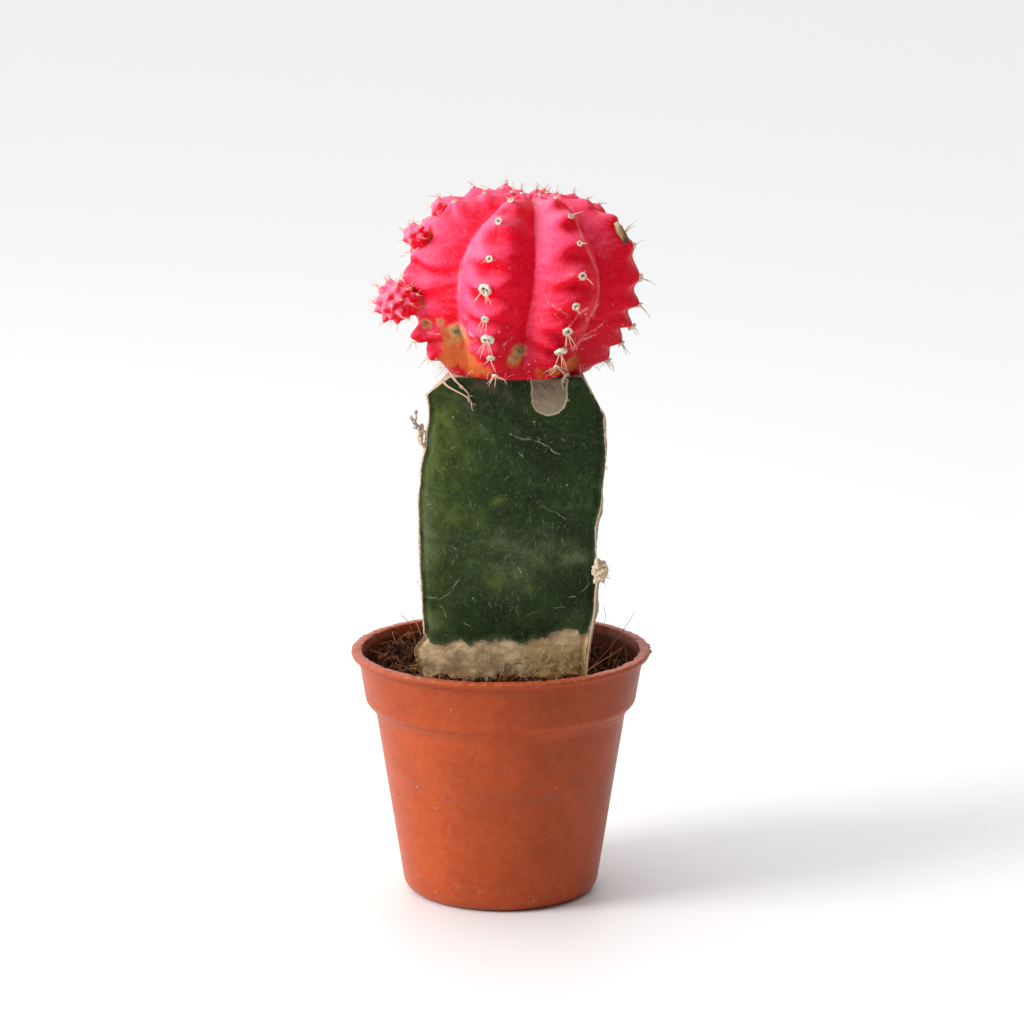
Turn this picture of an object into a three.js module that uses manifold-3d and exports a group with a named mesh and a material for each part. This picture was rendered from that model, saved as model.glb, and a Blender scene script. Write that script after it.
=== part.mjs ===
// A grafted moon cactus in a small plastic nursery pot.
// Millimetres, +Z up. The origin is the centre of the pot's foot, on the surface that it stands on.
// The broad face of the rootstock looks along -Y, and its third rib points to +Y.

import * as THREE from "three";
import { mergeVertices } from "three/addons/utils/BufferGeometryUtils.js";
import Module from "manifold-3d";

const wasm = await Module();
wasm.setup();

// ---------- Driving dimensions ----------

const GAP = 0.3; // clearance that pieces keep where one stands in another

const POT = {
  height: 45.6,
  lipRadius: 27.5,
  lipThickness: 1.1,
  mouthRadius: 25.6,
  bandTopRadius: 26.2, // outside, just under the lip
  bandBottomRadius: 25.0,
  bandBottom: 37.0, // where the band starts to round in
  stepHeight: 34.3, // where the band meets the body
  stepRadius: 23.1,
  footRadius: 18.0, // the body's wall carried down to the floor
  footRounding: 2.6,
  wall: 1.0,
  floorTop: 2.6,
  recessRadius: 13.2, // the floor is raised inside the foot ring
  recessDepth: 1.2,
  drainRadius: 2.3,
  drainCircle: 8.6,
  drains: 4,
  sides: 56,
};

const SOIL = { level: 41.4, roughness: 0.7, sides: 46, rings: 9, crumbs: 24, seed: 7 };

const STOCK = {
  foot: 22, // how deep the cutting is planted
  graft: 97.5, // the flat cut that the head sits on
  frontFace: -9.5,
  backRib: 18.6,
  backRibX: 1.5,
  cornerLength: 2.4, // how far each rib's rounded corner runs along its faces
  keelLength: 1.1, // how far the corky keel on it does
  keelDrop: 0.22, // how far the skin beside the keel lies under the face
  marginHalf: 0.42, // half the width of the corky edge of a rib
  faceSteps: 5,
  faceBulge: [0.9, -1.4, -1.4], // front, back right, back left
  faceWave: 0.18, // how much each bulge swells and shrinks up the stem
  seed: 11,
};
// Height and X of the left and right ribs of the broad face, from the foot to the graft.
const LEFT_RIB = [
  [22, -12.6], [36, -14.4], [43, -15.1], [47.4, -16.0], [50.2, -14.2], [56.5, -14.5], [64, -14.9],
  [74.8, -15.1], [80, -14.7], [86, -13.7], [91, -13.1], [97.5, -13.8],
];
const RIGHT_RIB = [
  [22, 13.6], [36, 15.2], [46.5, 16.0], [50, 16.4], [56, 17.8], [64.3, 17.6], [70, 17.6], [74.8, 18.6],
  [84, 19.3], [90.4, 19.0], [97.5, 18.2],
];
// The heights of the stem's outlines: those that the soil reaches, and those above it.
const BURIED_LEVELS = [STOCK.foot, 36, 43, 45.5, 47.4, 48.8, 50.2];
const OPEN_LEVELS = [53.5, 57, 61, 66, 70, 73, 76, 80, 85, 89, 93, STOCK.graft];
// The bevels that the grower cuts at the top of each rib: where each starts and ends.
const BEVELS = [
  { from: [-9.2, 97.5], to: [-13.4, 94.2], turn: 0 },
  { from: [14.8, 97.5], to: [18.8, 90.2], turn: 0 },
  { from: [12.0, 97.5], to: [18.4, 90.5], turn: 90 },
];

const HEAD = {
  x: 3.9,
  y: 0.8,
  z: 112.5, // near the widest level
  lean: 5, // degrees towards +X, at the crown
  leanRun: [-16, 4], // the heights over which it starts to lean, from the head's centre
  baseDrift: 0.05, // how far its base lies back towards -X, a share of the depth below the centre
  furrowDepth: 3.9,
  furrowSharpness: 1.7,
  furrowStart: 15, // the radius by which the furrows reach their full depth below the crown
  furrowEnd: [11.5, 18.5], // below the middle they run out between these radii
  chinTop: 0.9, // how far the tubercles stand proud, by the crown and from the middle down
  chinLow: 1.8,
  slant: 0.14, // how far a tubercle's ridge slopes down towards the furrow, as a share of the spacing
};
// A rib's crest from the crown to below the cut: radius, and height above the head's centre.
const CREST = [
  [0, 15.2], [3, 16.5], [7, 17.0], [11, 16.4], [14.8, 14.7], [17.8, 12.0], [19.8, 8.6], [21.0, 4.6],
  [21.4, 0.6], [20.9, -3.8], [19.6, -7.4], [17.9, -10.4], [15.8, -12.9], [13.3, -15.0], [10.4, -16.8],
];
// How far along the crest each areole lies from the crown.
const AREOLE_ROWS = [4.4, 10.0, 16.0, 21.8, 27.6, 32.8, 37.4, 41.4, 45.0];
// Where the head's grid has its rows between two areoles, and its columns between two crests.
const ROW_STEPS = [0, 0.16, 0.38, 0.7];
const COLUMN_STEPS = [0, 0.12, 0.31, 0.5, 0.69, 0.88];
// Each rib's direction, in degrees from -Y towards +X, and its shift along the row of areoles.
const RIBS = [
  [-18, 0.0], [31, -0.1], [76, 0.12], [121, -0.1], [166, 0.12], [211, -0.16], [252, 0.2], [296, -0.1],
];

const SPINE = { radius: 0.2, length: 3.7, sunk: 0.6, clear: 0.8, seed: 21 };
const SPINES_PER_AREOLE = [0, 2, 2, 2, 3, 3, 3, 3, 3]; // from the crown down
const AREOLE = { radius: 0.95, flatness: 0.6 };
const PLANT_REACH = 27.2; // no part of the plant reaches further out than this in X or Y

// The young heads that grow from the areoles of the two left ribs. A crown is the way that one points.
const OFFSETS = [
  { at: [-18.2, -9.6, 110.8], radius: 4.05, crown: [-0.25, -0.2, 0.95], tubercles: 30, spines: 6, seed: 3 },
  { at: [-15.1, -7.6, 122.7], radius: 2.35, crown: [-0.8, -0.25, 0.55], tubercles: 17, spines: 4, seed: 5 },
  { at: [-10.9, -5.4, 127.5], radius: 1.6, crown: [-0.6, 0.1, 0.8], tubercles: 10, spines: 2, seed: 9 },
];
const TUBERCLE = { height: 0.36, width: 0.31 }; // shares of the offset's radius

// Dry areoles on the rootstock's ribs: where, how large, of how many lumps, and the length of an old
// shoot's stub.
const STOCK_AREOLES = [
  { rib: "left", z: 87.2, size: 1.5, lumps: 4, reach: 4.4 },
  { rib: "left", z: 60.0, size: 0.8, lumps: 0, reach: 0 },
  { rib: "right", z: 62.2, size: 2.1, lumps: 5, reach: 0 },
  { rib: "right", z: 80.5, size: 0.8, lumps: 0, reach: 0 },
  { rib: "back", z: 76.0, size: 1.4, lumps: 4, reach: 3.2 },
  { rib: "back", z: 55.0, size: 1.6, lumps: 4, reach: 0 },
];

const COLOUR = {
  pot: 0xb4532e,
  soil: 0x3a2418,
  stock: 0x2f4a24,
  head: 0xe3204a,
};

// ---------- Small helpers ----------

const rad = THREE.MathUtils.degToRad;
const clamp = THREE.MathUtils.clamp;
const smooth = (x) => THREE.MathUtils.smoothstep(x, 0, 1);

// A repeatable random source.
function randomFrom(seed) {
  let state = seed >>> 0;
  return () => {
    state = (state + 0x6d2b79f5) >>> 0;
    let t = Math.imul(state ^ (state >>> 15), 1 | state);
    t = (t + Math.imul(t ^ (t >>> 7), 61 | t)) ^ t;
    return ((t ^ (t >>> 14)) >>> 0) / 4294967296;
  };
}

// The value of a list of [position, value] points at x, with a smooth run between them.
function along(points, x) {
  let i = 0;
  while (i < points.length - 2 && x > points[i + 1][0]) i++;
  const [x0, y0] = points[i];
  const [x1, y1] = points[i + 1];
  return y0 + (y1 - y0) * smooth(clamp((x - x0) / (x1 - x0), 0, 1));
}

function solidOf(geometry) {
  const bare = new THREE.BufferGeometry().setAttribute("position", geometry.getAttribute("position"));
  bare.setIndex(geometry.index);
  const merged = mergeVertices(bare, 1e-4);
  return new wasm.Manifold(
    new wasm.Mesh({
      numProp: 3,
      vertProperties: new Float32Array(merged.attributes.position.array),
      triVerts: new Uint32Array(merged.index.array),
    }),
  );
}

function geometryOf(solid) {
  const mesh = solid.getMesh();
  const points = new Float32Array(mesh.numVert * 3);
  for (let i = 0; i < mesh.numVert; i++) {
    points.set(mesh.vertProperties.subarray(i * mesh.numProp, i * mesh.numProp + 3), i * 3);
  }
  const geometry = new THREE.BufferGeometry()
    .setAttribute("position", new THREE.BufferAttribute(points, 3))
    .setIndex(new THREE.BufferAttribute(mesh.triVerts, 1));
  geometry.computeVertexNormals();
  return geometry;
}

const upright = new THREE.Vector3(0, 1, 0); // the way that three.js cones and cylinders point

const union = (solids) => solids.reduce((sum, next) => sum.add(next));

const largestBody = (solid) => solid.decompose().reduce((a, b) => (a.volume() > b.volume() ? a : b));

// A closed body from rings of equal length, bottom first, each running anticlockwise seen from above.
function loft(rings) {
  const count = rings[0].length;
  const centre = (ring) => ring.reduce((sum, p) => sum.add(p), new THREE.Vector3()).divideScalar(count);
  const points = [...rings.flat(), centre(rings[0]), centre(rings.at(-1))];
  const low = rings.length * count;
  const high = low + 1;
  const faces = [];
  for (let i = 0; i < count; i++) {
    const j = (i + 1) % count;
    faces.push(low, j, i);
    for (let k = 0; k < rings.length - 1; k++) {
      const a = k * count;
      const b = a + count;
      faces.push(a + i, a + j, b + j, a + i, b + j, b + i);
    }
    const top = (rings.length - 1) * count;
    faces.push(high, top + i, top + j);
  }
  return new THREE.BufferGeometry().setFromPoints(points).setIndex(faces);
}

// A lathe about +Z from [radius, height] pairs that start and end on the axis, bottom first.
function lathe(profile, sides) {
  const points = profile.map(([r, z]) => new THREE.Vector2(r, z));
  return new THREE.LatheGeometry(points, sides).rotateX(Math.PI / 2);
}

function arc(centreR, centreZ, radius, fromDegrees, toDegrees, steps) {
  return Array.from({ length: steps + 1 }, (_, i) => {
    const a = rad(fromDegrees + ((toDegrees - fromDegrees) * i) / steps);
    return [centreR + radius * Math.cos(a), centreZ + radius * Math.sin(a)];
  });
}

function mesh(name, geometry, color, roughness) {
  const made = new THREE.Mesh(geometry, new THREE.MeshStandardMaterial({ color, roughness, metalness: 0 }));
  made.name = name;
  return made;
}

// Turns a shape that points along +Y so that it starts at a point and runs in a direction.
function place(geometry, at, direction) {
  const turn = new THREE.Quaternion().setFromUnitVectors(upright, direction.clone().normalize());
  return geometry.applyQuaternion(turn).translate(at.x, at.y, at.z);
}

// ---------- Pot ----------

const bodyRadius = (z) => POT.footRadius + ((POT.stepRadius - POT.footRadius) * z) / POT.stepHeight;

// The inside of the pot, from the floor up. The soil follows it.
function potInside() {
  const floorR = bodyRadius(POT.floorTop) - POT.wall;
  const ledgeR = bodyRadius(POT.stepHeight) - POT.wall;
  return [
    [floorR - 1.2, POT.floorTop],
    [floorR, POT.floorTop + 1.0],
    [ledgeR, POT.stepHeight + 0.4],
    [POT.bandBottomRadius - POT.wall, POT.bandBottom + 0.2],
    [POT.mouthRadius - 0.35, POT.height - POT.lipThickness],
  ];
}

function pot() {
  const footEdge = POT.footRadius - POT.footRounding;
  const outside = [
    [0, POT.recessDepth],
    [POT.recessRadius - 0.8, POT.recessDepth],
    [POT.recessRadius, 0],
    ...arc(footEdge + 0.15, POT.footRounding, POT.footRounding, -90, -9, 3),
    [POT.stepRadius, POT.stepHeight],
    ...arc(POT.bandBottomRadius - 2.1, POT.bandBottom, 2.1, -68, 0, 2),
    [POT.bandTopRadius, POT.height - POT.lipThickness - 0.3],
    [POT.lipRadius - 0.2, POT.height - POT.lipThickness],
    [POT.lipRadius, POT.height - POT.lipThickness / 2],
    [POT.lipRadius - 0.35, POT.height],
    [POT.mouthRadius + 0.3, POT.height],
    [POT.mouthRadius, POT.height - 0.35],
  ];
  const shell = solidOf(lathe([...outside, ...potInside().reverse(), [0, POT.floorTop]], POT.sides));
  const drains = Array.from({ length: POT.drains }, (_, i) => {
    const a = (2 * Math.PI * (i + 0.5)) / POT.drains;
    const bore = new THREE.CylinderGeometry(POT.drainRadius, POT.drainRadius, 3 * POT.floorTop, 16)
      .rotateX(Math.PI / 2)
      .translate(POT.drainCircle * Math.cos(a), POT.drainCircle * Math.sin(a), POT.floorTop / 2);
    return solidOf(bore);
  });
  return geometryOf(shell.subtract(union(drains)));
}

// ---------- Rootstock ----------

// The stem's outline at a height, anticlockwise: three ribs with blunt corky edges and three faces.
// It can be grown outwards by the same distance on all of its faces.
function stemOutline(z, grow = 0) {
  const tips = [
    new THREE.Vector2(along(LEFT_RIB, z), STOCK.frontFace),
    new THREE.Vector2(along(RIGHT_RIB, z), STOCK.frontFace),
    new THREE.Vector2(STOCK.backRibX, STOCK.backRib),
  ];
  const runs = tips.map((tip, i) => tips[(i + 1) % 3].clone().sub(tip).normalize());
  const outs = runs.map((run) => new THREE.Vector2(run.y, -run.x));
  const ribs = tips.map((tip, i) => {
    const before = outs[(i + 2) % 3];
    const both = outs[i].clone().add(before);
    return tip.clone().addScaledVector(both, grow / (1 + outs[i].dot(before)));
  });
  const outline = [];
  ribs.forEach((rib, i) => {
    const next = ribs[(i + 1) % 3];
    const run = runs[i];
    const out = outs[i];
    const length = rib.distanceTo(next);
    const start = STOCK.cornerLength / length;
    // The corky edge stands as a blunt keel on the rib's rounded corner.
    outline.push(rib.clone().addScaledVector(run, STOCK.marginHalf));
    outline.push(rib.clone().addScaledVector(run, STOCK.keelLength).addScaledVector(out, -STOCK.keelDrop));
    for (let k = 0; k <= STOCK.faceSteps; k++) {
      const s = start + ((1 - 2 * start) * k) / STOCK.faceSteps;
      const wave = 1 + STOCK.faceWave * Math.sin(z * 0.11 + i * 2);
      const bulge = STOCK.faceBulge[i] * Math.sin(Math.PI * s) * wave;
      outline.push(rib.clone().addScaledVector(run, s * length).addScaledVector(out, bulge));
    }
    outline.push(next.clone().addScaledVector(run, -STOCK.keelLength).addScaledVector(out, -STOCK.keelDrop));
    outline.push(next.clone().addScaledVector(run, -STOCK.marginHalf));
  });
  return outline.map((p) => new THREE.Vector3(p.x, p.y, z));
}

// The half space above a bevel's line, as a large block to cut away.
function bevelBlock({ from, to, turn }) {
  const [x0, z0] = from;
  const [x1, z1] = to;
  const side = Math.sign(x1 - x0);
  const slope = Math.atan2(z1 - z0, x1 - x0);
  const size = 60;
  const block = new THREE.BoxGeometry(size, size, size)
    .translate(0, 0, (side * size) / 2)
    .rotateY(-slope)
    .translate(x0, 0, z0);
  return solidOf(block.rotateZ(rad(turn)));
}

function ribPoint(rib, z) {
  if (rib === "left") return new THREE.Vector3(along(LEFT_RIB, z), STOCK.frontFace + 0.2, z);
  if (rib === "right") return new THREE.Vector3(along(RIGHT_RIB, z), STOCK.frontFace + 0.2, z);
  return new THREE.Vector3(STOCK.backRibX, STOCK.backRib, z);
}

// A dry areole: a knot of woody lumps on a rib's edge, some with the stub of an old shoot.
function dryAreole({ rib, z, size, lumps, reach }, random) {
  const at = ribPoint(rib, z);
  const out = at.clone().sub(new THREE.Vector3(STOCK.backRibX, 3, z)).normalize();
  const spread = size * 0.75;
  const heart = new THREE.IcosahedronGeometry(spread, 0).scale(0.9, 0.9, 1.9);
  const knots = [solidOf(heart.translate(at.x, at.y, at.z))];
  for (let i = 0; i < lumps; i++) {
    const knot = new THREE.IcosahedronGeometry(size * (0.5 + 0.25 * random()), 0).scale(0.8, 0.8, 1.25);
    const outward = (random() - 0.45) * spread;
    const sideways = (random() - 0.5) * spread;
    const upward = (i / (lumps - 1) - 0.5) * 2.6 * spread;
    const centre = at.clone().addScaledVector(out, outward).add(new THREE.Vector3(0, sideways, upward));
    knots.push(solidOf(knot.rotateY(random() * 3).translate(centre.x, centre.y, centre.z)));
  }
  if (reach > 0) {
    const stub = new THREE.CylinderGeometry(0.28, 0.5, reach, 5).translate(0, reach / 2, 0);
    const way = out.clone().add(new THREE.Vector3(0, 0, 1.5));
    knots.push(solidOf(place(stub, at.clone().add(new THREE.Vector3(0, 0, size * 0.5)), way)));
  }
  return union(knots);
}

function rootstock() {
  const stem = solidOf(loft([...BURIED_LEVELS, ...OPEN_LEVELS].map((z) => stemOutline(z))));
  const random = randomFrom(STOCK.seed);
  const areoles = STOCK_AREOLES.map((a) => dryAreole(a, random));
  return geometryOf(stem.subtract(union(BEVELS.map(bevelBlock))).add(union(areoles)));
}

// ---------- Soil ----------

// How far the soil's surface lies above or below its level at a place.
function soilRelief(x, y) {
  const waves =
    Math.sin(0.52 * x + 1.3) * Math.cos(0.47 * y - 0.6) +
    0.6 * Math.sin(1.13 * x - 0.9 * y + 2.1) +
    0.45 * Math.cos(1.9 * x + 1.6 * y + 0.4);
  // It is heaped up behind the rootstock's left rib and lies lower in front.
  const heap = 2.6 * Math.exp(-((x + 15) ** 2 + (y - 8) ** 2) / 60);
  const front = -0.5 * smooth(clamp((-y - 8) / 10, 0, 1));
  return SOIL.roughness * waves + heap + front;
}

function soil() {
  const inside = potInside().map(([r, z]) => [r - GAP, z]);
  const upper = inside.findIndex(([, z]) => z > SOIL.level);
  const [r0, z0] = inside[upper - 1];
  const [r1, z1] = inside[upper];
  const edgeR = (z) => r0 + ((r1 - r0) * (z - z0)) / (z1 - z0);
  const rim = edgeR(SOIL.level);
  const inwards = Array.from({ length: SOIL.rings }, (_, i) => 1 - i / (SOIL.rings - 1));
  const surface = inwards.map((share) => [rim * share, SOIL.level]);
  const body = lathe([[0, POT.floorTop], ...inside.slice(0, upper), ...surface], SOIL.sides);
  const position = body.getAttribute("position");
  for (let i = 0; i < position.count; i++) {
    if (position.getZ(i) < SOIL.level - 0.01) continue;
    const x = position.getX(i);
    const y = position.getY(i);
    const r = Math.hypot(x, y);
    const z = SOIL.level + soilRelief(x, y) * (r > rim - 0.1 ? 0.5 : 1);
    const scale = r > rim - 0.1 ? edgeR(z) / rim : 1;
    position.setXYZ(i, x * scale, y * scale, z);
  }
  const random = randomFrom(SOIL.seed);
  const crumbs = Array.from({ length: SOIL.crumbs }, () => {
    const a = 2 * Math.PI * random();
    const r = 5 + (rim - 6.5) * Math.sqrt(random());
    const x = r * Math.cos(a);
    const y = r * Math.sin(a);
    const size = 0.8 + 1.0 * random();
    const crumb = new THREE.IcosahedronGeometry(size, 0)
      .scale(1, 0.75, 0.7)
      .rotateX(3 * random())
      .rotateZ(3 * random());
    return solidOf(crumb.translate(x, y, SOIL.level + soilRelief(x, y) + 0.25 * size));
  });
  const hole = solidOf(loft(BURIED_LEVELS.map((z) => stemOutline(z, GAP))));
  return geometryOf(largestBody(solidOf(body).add(union(crumbs)).subtract(hole)));
}

// ---------- Head ----------

const crest = new THREE.SplineCurve(CREST.map(([r, z]) => new THREE.Vector2(r, z)));
const crestLength = crest.getLength();
const rowArcs = [0, ...AREOLE_ROWS, crestLength];

// How far across a rib a direction lies (0 at the crest, 1 at the furrow), and the ribs' shift there.
function ribAt(degrees) {
  const count = RIBS.length;
  const first = RIBS[0][0];
  const turned = THREE.MathUtils.euclideanModulo(degrees - first, 360) + first;
  let i = 0;
  while (i < count - 1 && turned >= RIBS[i + 1][0]) i++;
  const next = i + 1 < count ? RIBS[i + 1][0] : first + 360;
  const s = (turned - RIBS[i][0]) / (next - RIBS[i][0]);
  const shift = THREE.MathUtils.lerp(RIBS[i][1], RIBS[(i + 1) % count][1], smooth(s));
  return { across: 1 - Math.abs(1 - 2 * s), shift };
}

// How far a tubercle bulges, u being the place below an areole as a share of the way to the next one.
// It stands out at the areole, falls away sharply below it and swells again towards the next.
function chin(u) {
  const v = u - Math.floor(u);
  const notch = 0.34;
  return v < notch ? 1 - smooth(v / notch) : smooth((v - notch) / (1 - notch));
}

// A point of the head's skin before it leans. Row 0 is the first areole below the crown.
function headPoint(degrees, row) {
  const { across, shift } = ribAt(degrees);
  const last = AREOLE_ROWS.length;
  const fade = clamp(row + 1, 0, 1) * clamp(last - row, 0, 1);
  const place = clamp(row + 1 + shift * fade, 0, last + 1);
  const i = Math.min(Math.floor(place), last);
  const arcLength = THREE.MathUtils.lerp(rowArcs[i], rowArcs[i + 1], place - i);
  const p = crest.getPointAt(clamp(arcLength / crestLength, 0, 1));
  const tangent = crest.getTangentAt(clamp(arcLength / crestLength, 0, 1));
  const [ended, full] = HEAD.furrowEnd;
  const open = p.y > 0 ? p.x / HEAD.furrowStart : (p.x - ended) / (full - ended);
  const furrow = HEAD.furrowDepth * smooth(clamp(open, 0, 1)) * across ** HEAD.furrowSharpness;
  const proud = THREE.MathUtils.lerp(HEAD.chinTop, HEAD.chinLow, smooth(clamp(row / 3, 0, 1))) * fade;
  const ridge = proud * (1 - across) ** 1.2 * (chin(row - HEAD.slant * across) - 0.75);
  const rise = ridge - furrow;
  const r = Math.max(p.x - tangent.y * rise, 0.2);
  const a = rad(degrees);
  return new THREE.Vector3(r * Math.sin(a), -r * Math.cos(a), p.y + tangent.x * rise);
}

// Bends the head over towards its crown and sets it on the rootstock.
function leanHead(v) {
  const [low, high] = HEAD.leanRun;
  v.x += HEAD.baseDrift * Math.min(v.z, 0);
  v.applyAxisAngle(upright, rad(HEAD.lean) * smooth(clamp((v.z - low) / (high - low), 0, 1)));
  return v.add(new THREE.Vector3(HEAD.x, HEAD.y, HEAD.z));
}

function headSkin() {
  const rows = [];
  for (let row = -1; row < AREOLE_ROWS.length; row++) {
    rows.push(...ROW_STEPS.map((step) => row + step));
  }
  const columns = RIBS.flatMap(([here], i) => {
    const next = i + 1 < RIBS.length ? RIBS[i + 1][0] : RIBS[0][0] + 360;
    return COLUMN_STEPS.map((step) => here + (next - here) * step);
  });
  // The rows below the crown's middle, from the base up.
  const ringOf = (row) => columns.map((degrees) => leanHead(headPoint(degrees, row)));
  return loft(rows.slice(2).reverse().map(ringOf));
}

// The skin's outward direction at a place.
function headNormal(degrees, row) {
  const leant = (d, r) => leanHead(headPoint(d, r));
  const east = leant(degrees + 8, row).sub(leant(degrees - 8, row));
  const south = leant(degrees, row + 0.5).sub(leant(degrees, row - 0.5));
  return south.cross(east).normalize();
}

// A three-sided needle. It is bent up where it would touch the rootstock, and it stays in the plant's reach.
function needle(at, direction, wanted, radius) {
  const way = direction.clone().normalize();
  const floor = STOCK.graft + SPINE.clear;
  if (at.z + way.z * wanted < floor) {
    way.z = Math.max(way.z, (floor - at.z) / wanted);
    way.normalize();
  }
  let length = wanted;
  for (const axis of ["x", "y"]) {
    const room = PLANT_REACH - at[axis] * Math.sign(way[axis]);
    length = Math.min(length, room / Math.abs(way[axis]));
  }
  const cone = new THREE.ConeGeometry(radius, length + SPINE.sunk, 3);
  return solidOf(place(cone.translate(0, (length - SPINE.sunk) / 2, 0), at, way));
}

// One areole: a low pad of wool and a few spread spines.
function areole(at, out, spines, random) {
  const pad = new THREE.IcosahedronGeometry(AREOLE.radius, 0).scale(1, AREOLE.flatness, 1);
  const pieces = [solidOf(place(pad, at, out))];
  const side = new THREE.Vector3(0, 0, 1).cross(out).normalize();
  for (let i = 0; i < spines; i++) {
    const fan = (i - (spines - 1) / 2) * 0.75 + 0.3 * (random() - 0.5);
    const droop = 0.25 + 0.5 * random();
    const length = SPINE.length * (0.75 + 0.4 * random());
    const way = out.clone().addScaledVector(side, fan).add(new THREE.Vector3(0, 0, -droop));
    pieces.push(needle(at, way, length, SPINE.radius));
  }
  return union(pieces);
}

// An areole that an offset grew out of has nothing else on it.
function nearOffset(point) {
  return OFFSETS.some(({ at, radius }) => point.distanceTo(new THREE.Vector3(...at)) < radius + 1.6);
}

function head() {
  const random = randomFrom(SPINE.seed);
  const grown = OFFSETS.map(offset);
  for (const [degrees] of RIBS) {
    for (let row = 0; row < AREOLE_ROWS.length; row++) {
      const at = leanHead(headPoint(degrees, row));
      if (at.z < STOCK.graft + 1.3 || nearOffset(at)) continue;
      grown.push(areole(at, headNormal(degrees, row), SPINES_PER_AREOLE[row], random));
    }
  }
  const below = new THREE.BoxGeometry(80, 80, 40).translate(0, 0, STOCK.graft - 20);
  return geometryOf(solidOf(headSkin()).add(union(grown)).subtract(solidOf(below)));
}

// A young head: a ball set with pointed tubercles that wind round it from its crown to its neck.
function offset({ at, radius, crown, tubercles, spines, seed }) {
  const random = randomFrom(seed);
  const centre = new THREE.Vector3(...at);
  const turn = new THREE.Quaternion().setFromUnitVectors(upright, new THREE.Vector3(...crown).normalize());
  const put = (geometry) => solidOf(geometry.applyQuaternion(turn).translate(centre.x, centre.y, centre.z));
  const grown = [put(new THREE.IcosahedronGeometry(radius * 0.88, 1).scale(1, 1.08, 1))];
  const goldenAngle = Math.PI * (3 - Math.sqrt(5));
  for (let i = 0; i < tubercles; i++) {
    const y = 1 - (1.8 * (i + 0.5)) / tubercles;
    const ring = Math.sqrt(1 - y * y);
    const a = i * goldenAngle;
    const out = new THREE.Vector3(ring * Math.cos(a), y, ring * Math.sin(a));
    const size = radius * (0.9 + 0.2 * random()) * (y > 0.6 ? 0.75 : 1);
    const cone = new THREE.ConeGeometry(TUBERCLE.width * size, TUBERCLE.height * size, 4);
    grown.push(put(place(cone, out.clone().multiplyScalar(radius * 0.9), out)));
    if (i < spines) {
      const way = out.applyQuaternion(turn);
      const tip = way.clone().multiplyScalar(radius).add(centre);
      grown.push(needle(tip, way, 0.35 * radius + 0.9 * random(), SPINE.radius * 0.8));
    }
  }
  // The short neck that it grew out on, sunk well into the head.
  const middle = new THREE.Vector3(HEAD.x, HEAD.y, clamp(at[2], HEAD.z - 4, HEAD.z + 8));
  const neck = new THREE.CylinderGeometry(radius * 0.4, radius * 0.55, radius * 2, 6).translate(0, radius, 0);
  grown.push(solidOf(place(neck, centre, middle.sub(centre))));
  return union(grown);
}

// ---------- The plant in its pot ----------

const plant = new THREE.Group();
plant.name = "potted_moon_cactus";
plant.add(mesh("pot", pot(), COLOUR.pot, 0.55));
plant.add(mesh("soil", soil(), COLOUR.soil, 0.95));
plant.add(mesh("rootstock", rootstock(), COLOUR.stock, 0.45));
plant.add(mesh("moon_cactus_head", head(), COLOUR.head, 0.4));

export default plant;
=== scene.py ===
"""A potted moon cactus: a red grafted head on a three-ribbed green rootstock, in a plastic nursery pot."""

import itertools
import math
from functools import lru_cache

import bmesh
import bpy
import numpy as np
from bpy.props import FloatProperty, FloatVectorProperty, IntProperty, PointerProperty
from bpy.types import Operator, Panel, PropertyGroup
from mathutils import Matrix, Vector


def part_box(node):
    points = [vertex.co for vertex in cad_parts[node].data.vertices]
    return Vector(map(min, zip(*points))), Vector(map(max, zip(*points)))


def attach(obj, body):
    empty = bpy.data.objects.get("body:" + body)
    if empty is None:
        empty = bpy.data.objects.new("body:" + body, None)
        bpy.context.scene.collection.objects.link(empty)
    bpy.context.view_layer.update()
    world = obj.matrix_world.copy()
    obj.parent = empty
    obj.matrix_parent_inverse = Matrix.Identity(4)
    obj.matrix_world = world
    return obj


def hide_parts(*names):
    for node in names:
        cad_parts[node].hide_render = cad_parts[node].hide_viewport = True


bl_info = {
    "name": "Potted moon cactus",
    "version": (1, 0, 0),
    "blender": (4, 5, 0),
    "location": "3D View > Sidebar > Moon cactus",
    "description": "Dresses the solids of a potted moon cactus",
    "category": "Add Mesh",
}

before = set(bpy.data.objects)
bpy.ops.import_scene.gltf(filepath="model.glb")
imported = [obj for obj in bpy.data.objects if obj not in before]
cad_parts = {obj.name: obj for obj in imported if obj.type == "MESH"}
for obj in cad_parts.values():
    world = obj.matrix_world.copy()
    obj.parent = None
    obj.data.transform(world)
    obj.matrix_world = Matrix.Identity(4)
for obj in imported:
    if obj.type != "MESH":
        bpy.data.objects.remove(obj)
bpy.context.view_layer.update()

# Shapes are worked out in millimetres, and become metres where their mesh is made.
MM = 0.001
# A full turn in radians, near enough for random directions.
FULL_TURN = 6.28
# A distance in millimetres at which a mark leaves no trace.
FAR = 9.0


# ---------- Sizes ----------

POT_TOP = max(corner[2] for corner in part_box("pot")) / MM
LIP_RADIUS = max(corner[0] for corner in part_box("pot")) / MM
LIP_THICKNESS = 1.1
MOUTH_RADIUS = LIP_RADIUS - 1.9
BAND_TOP_RADIUS = LIP_RADIUS - 1.3
BAND_BOTTOM_RADIUS = LIP_RADIUS - 2.5
BAND_BOTTOM = 37.0
STEP_HEIGHT = 34.3
STEP_RADIUS = 23.1
FOOT_RADIUS = 18.0
FOOT_ROUNDING = 2.6
POT_WALL = 1.0
FLOOR_TOP = 2.6
RECESS_RADIUS = 13.2
RECESS_DEPTH = 1.2
DRAINS = 4
DRAIN_RADIUS = 2.3
DRAIN_CIRCLE = 8.6
DRAIN_SIDES = 48
POT_SIDES = 384

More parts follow.
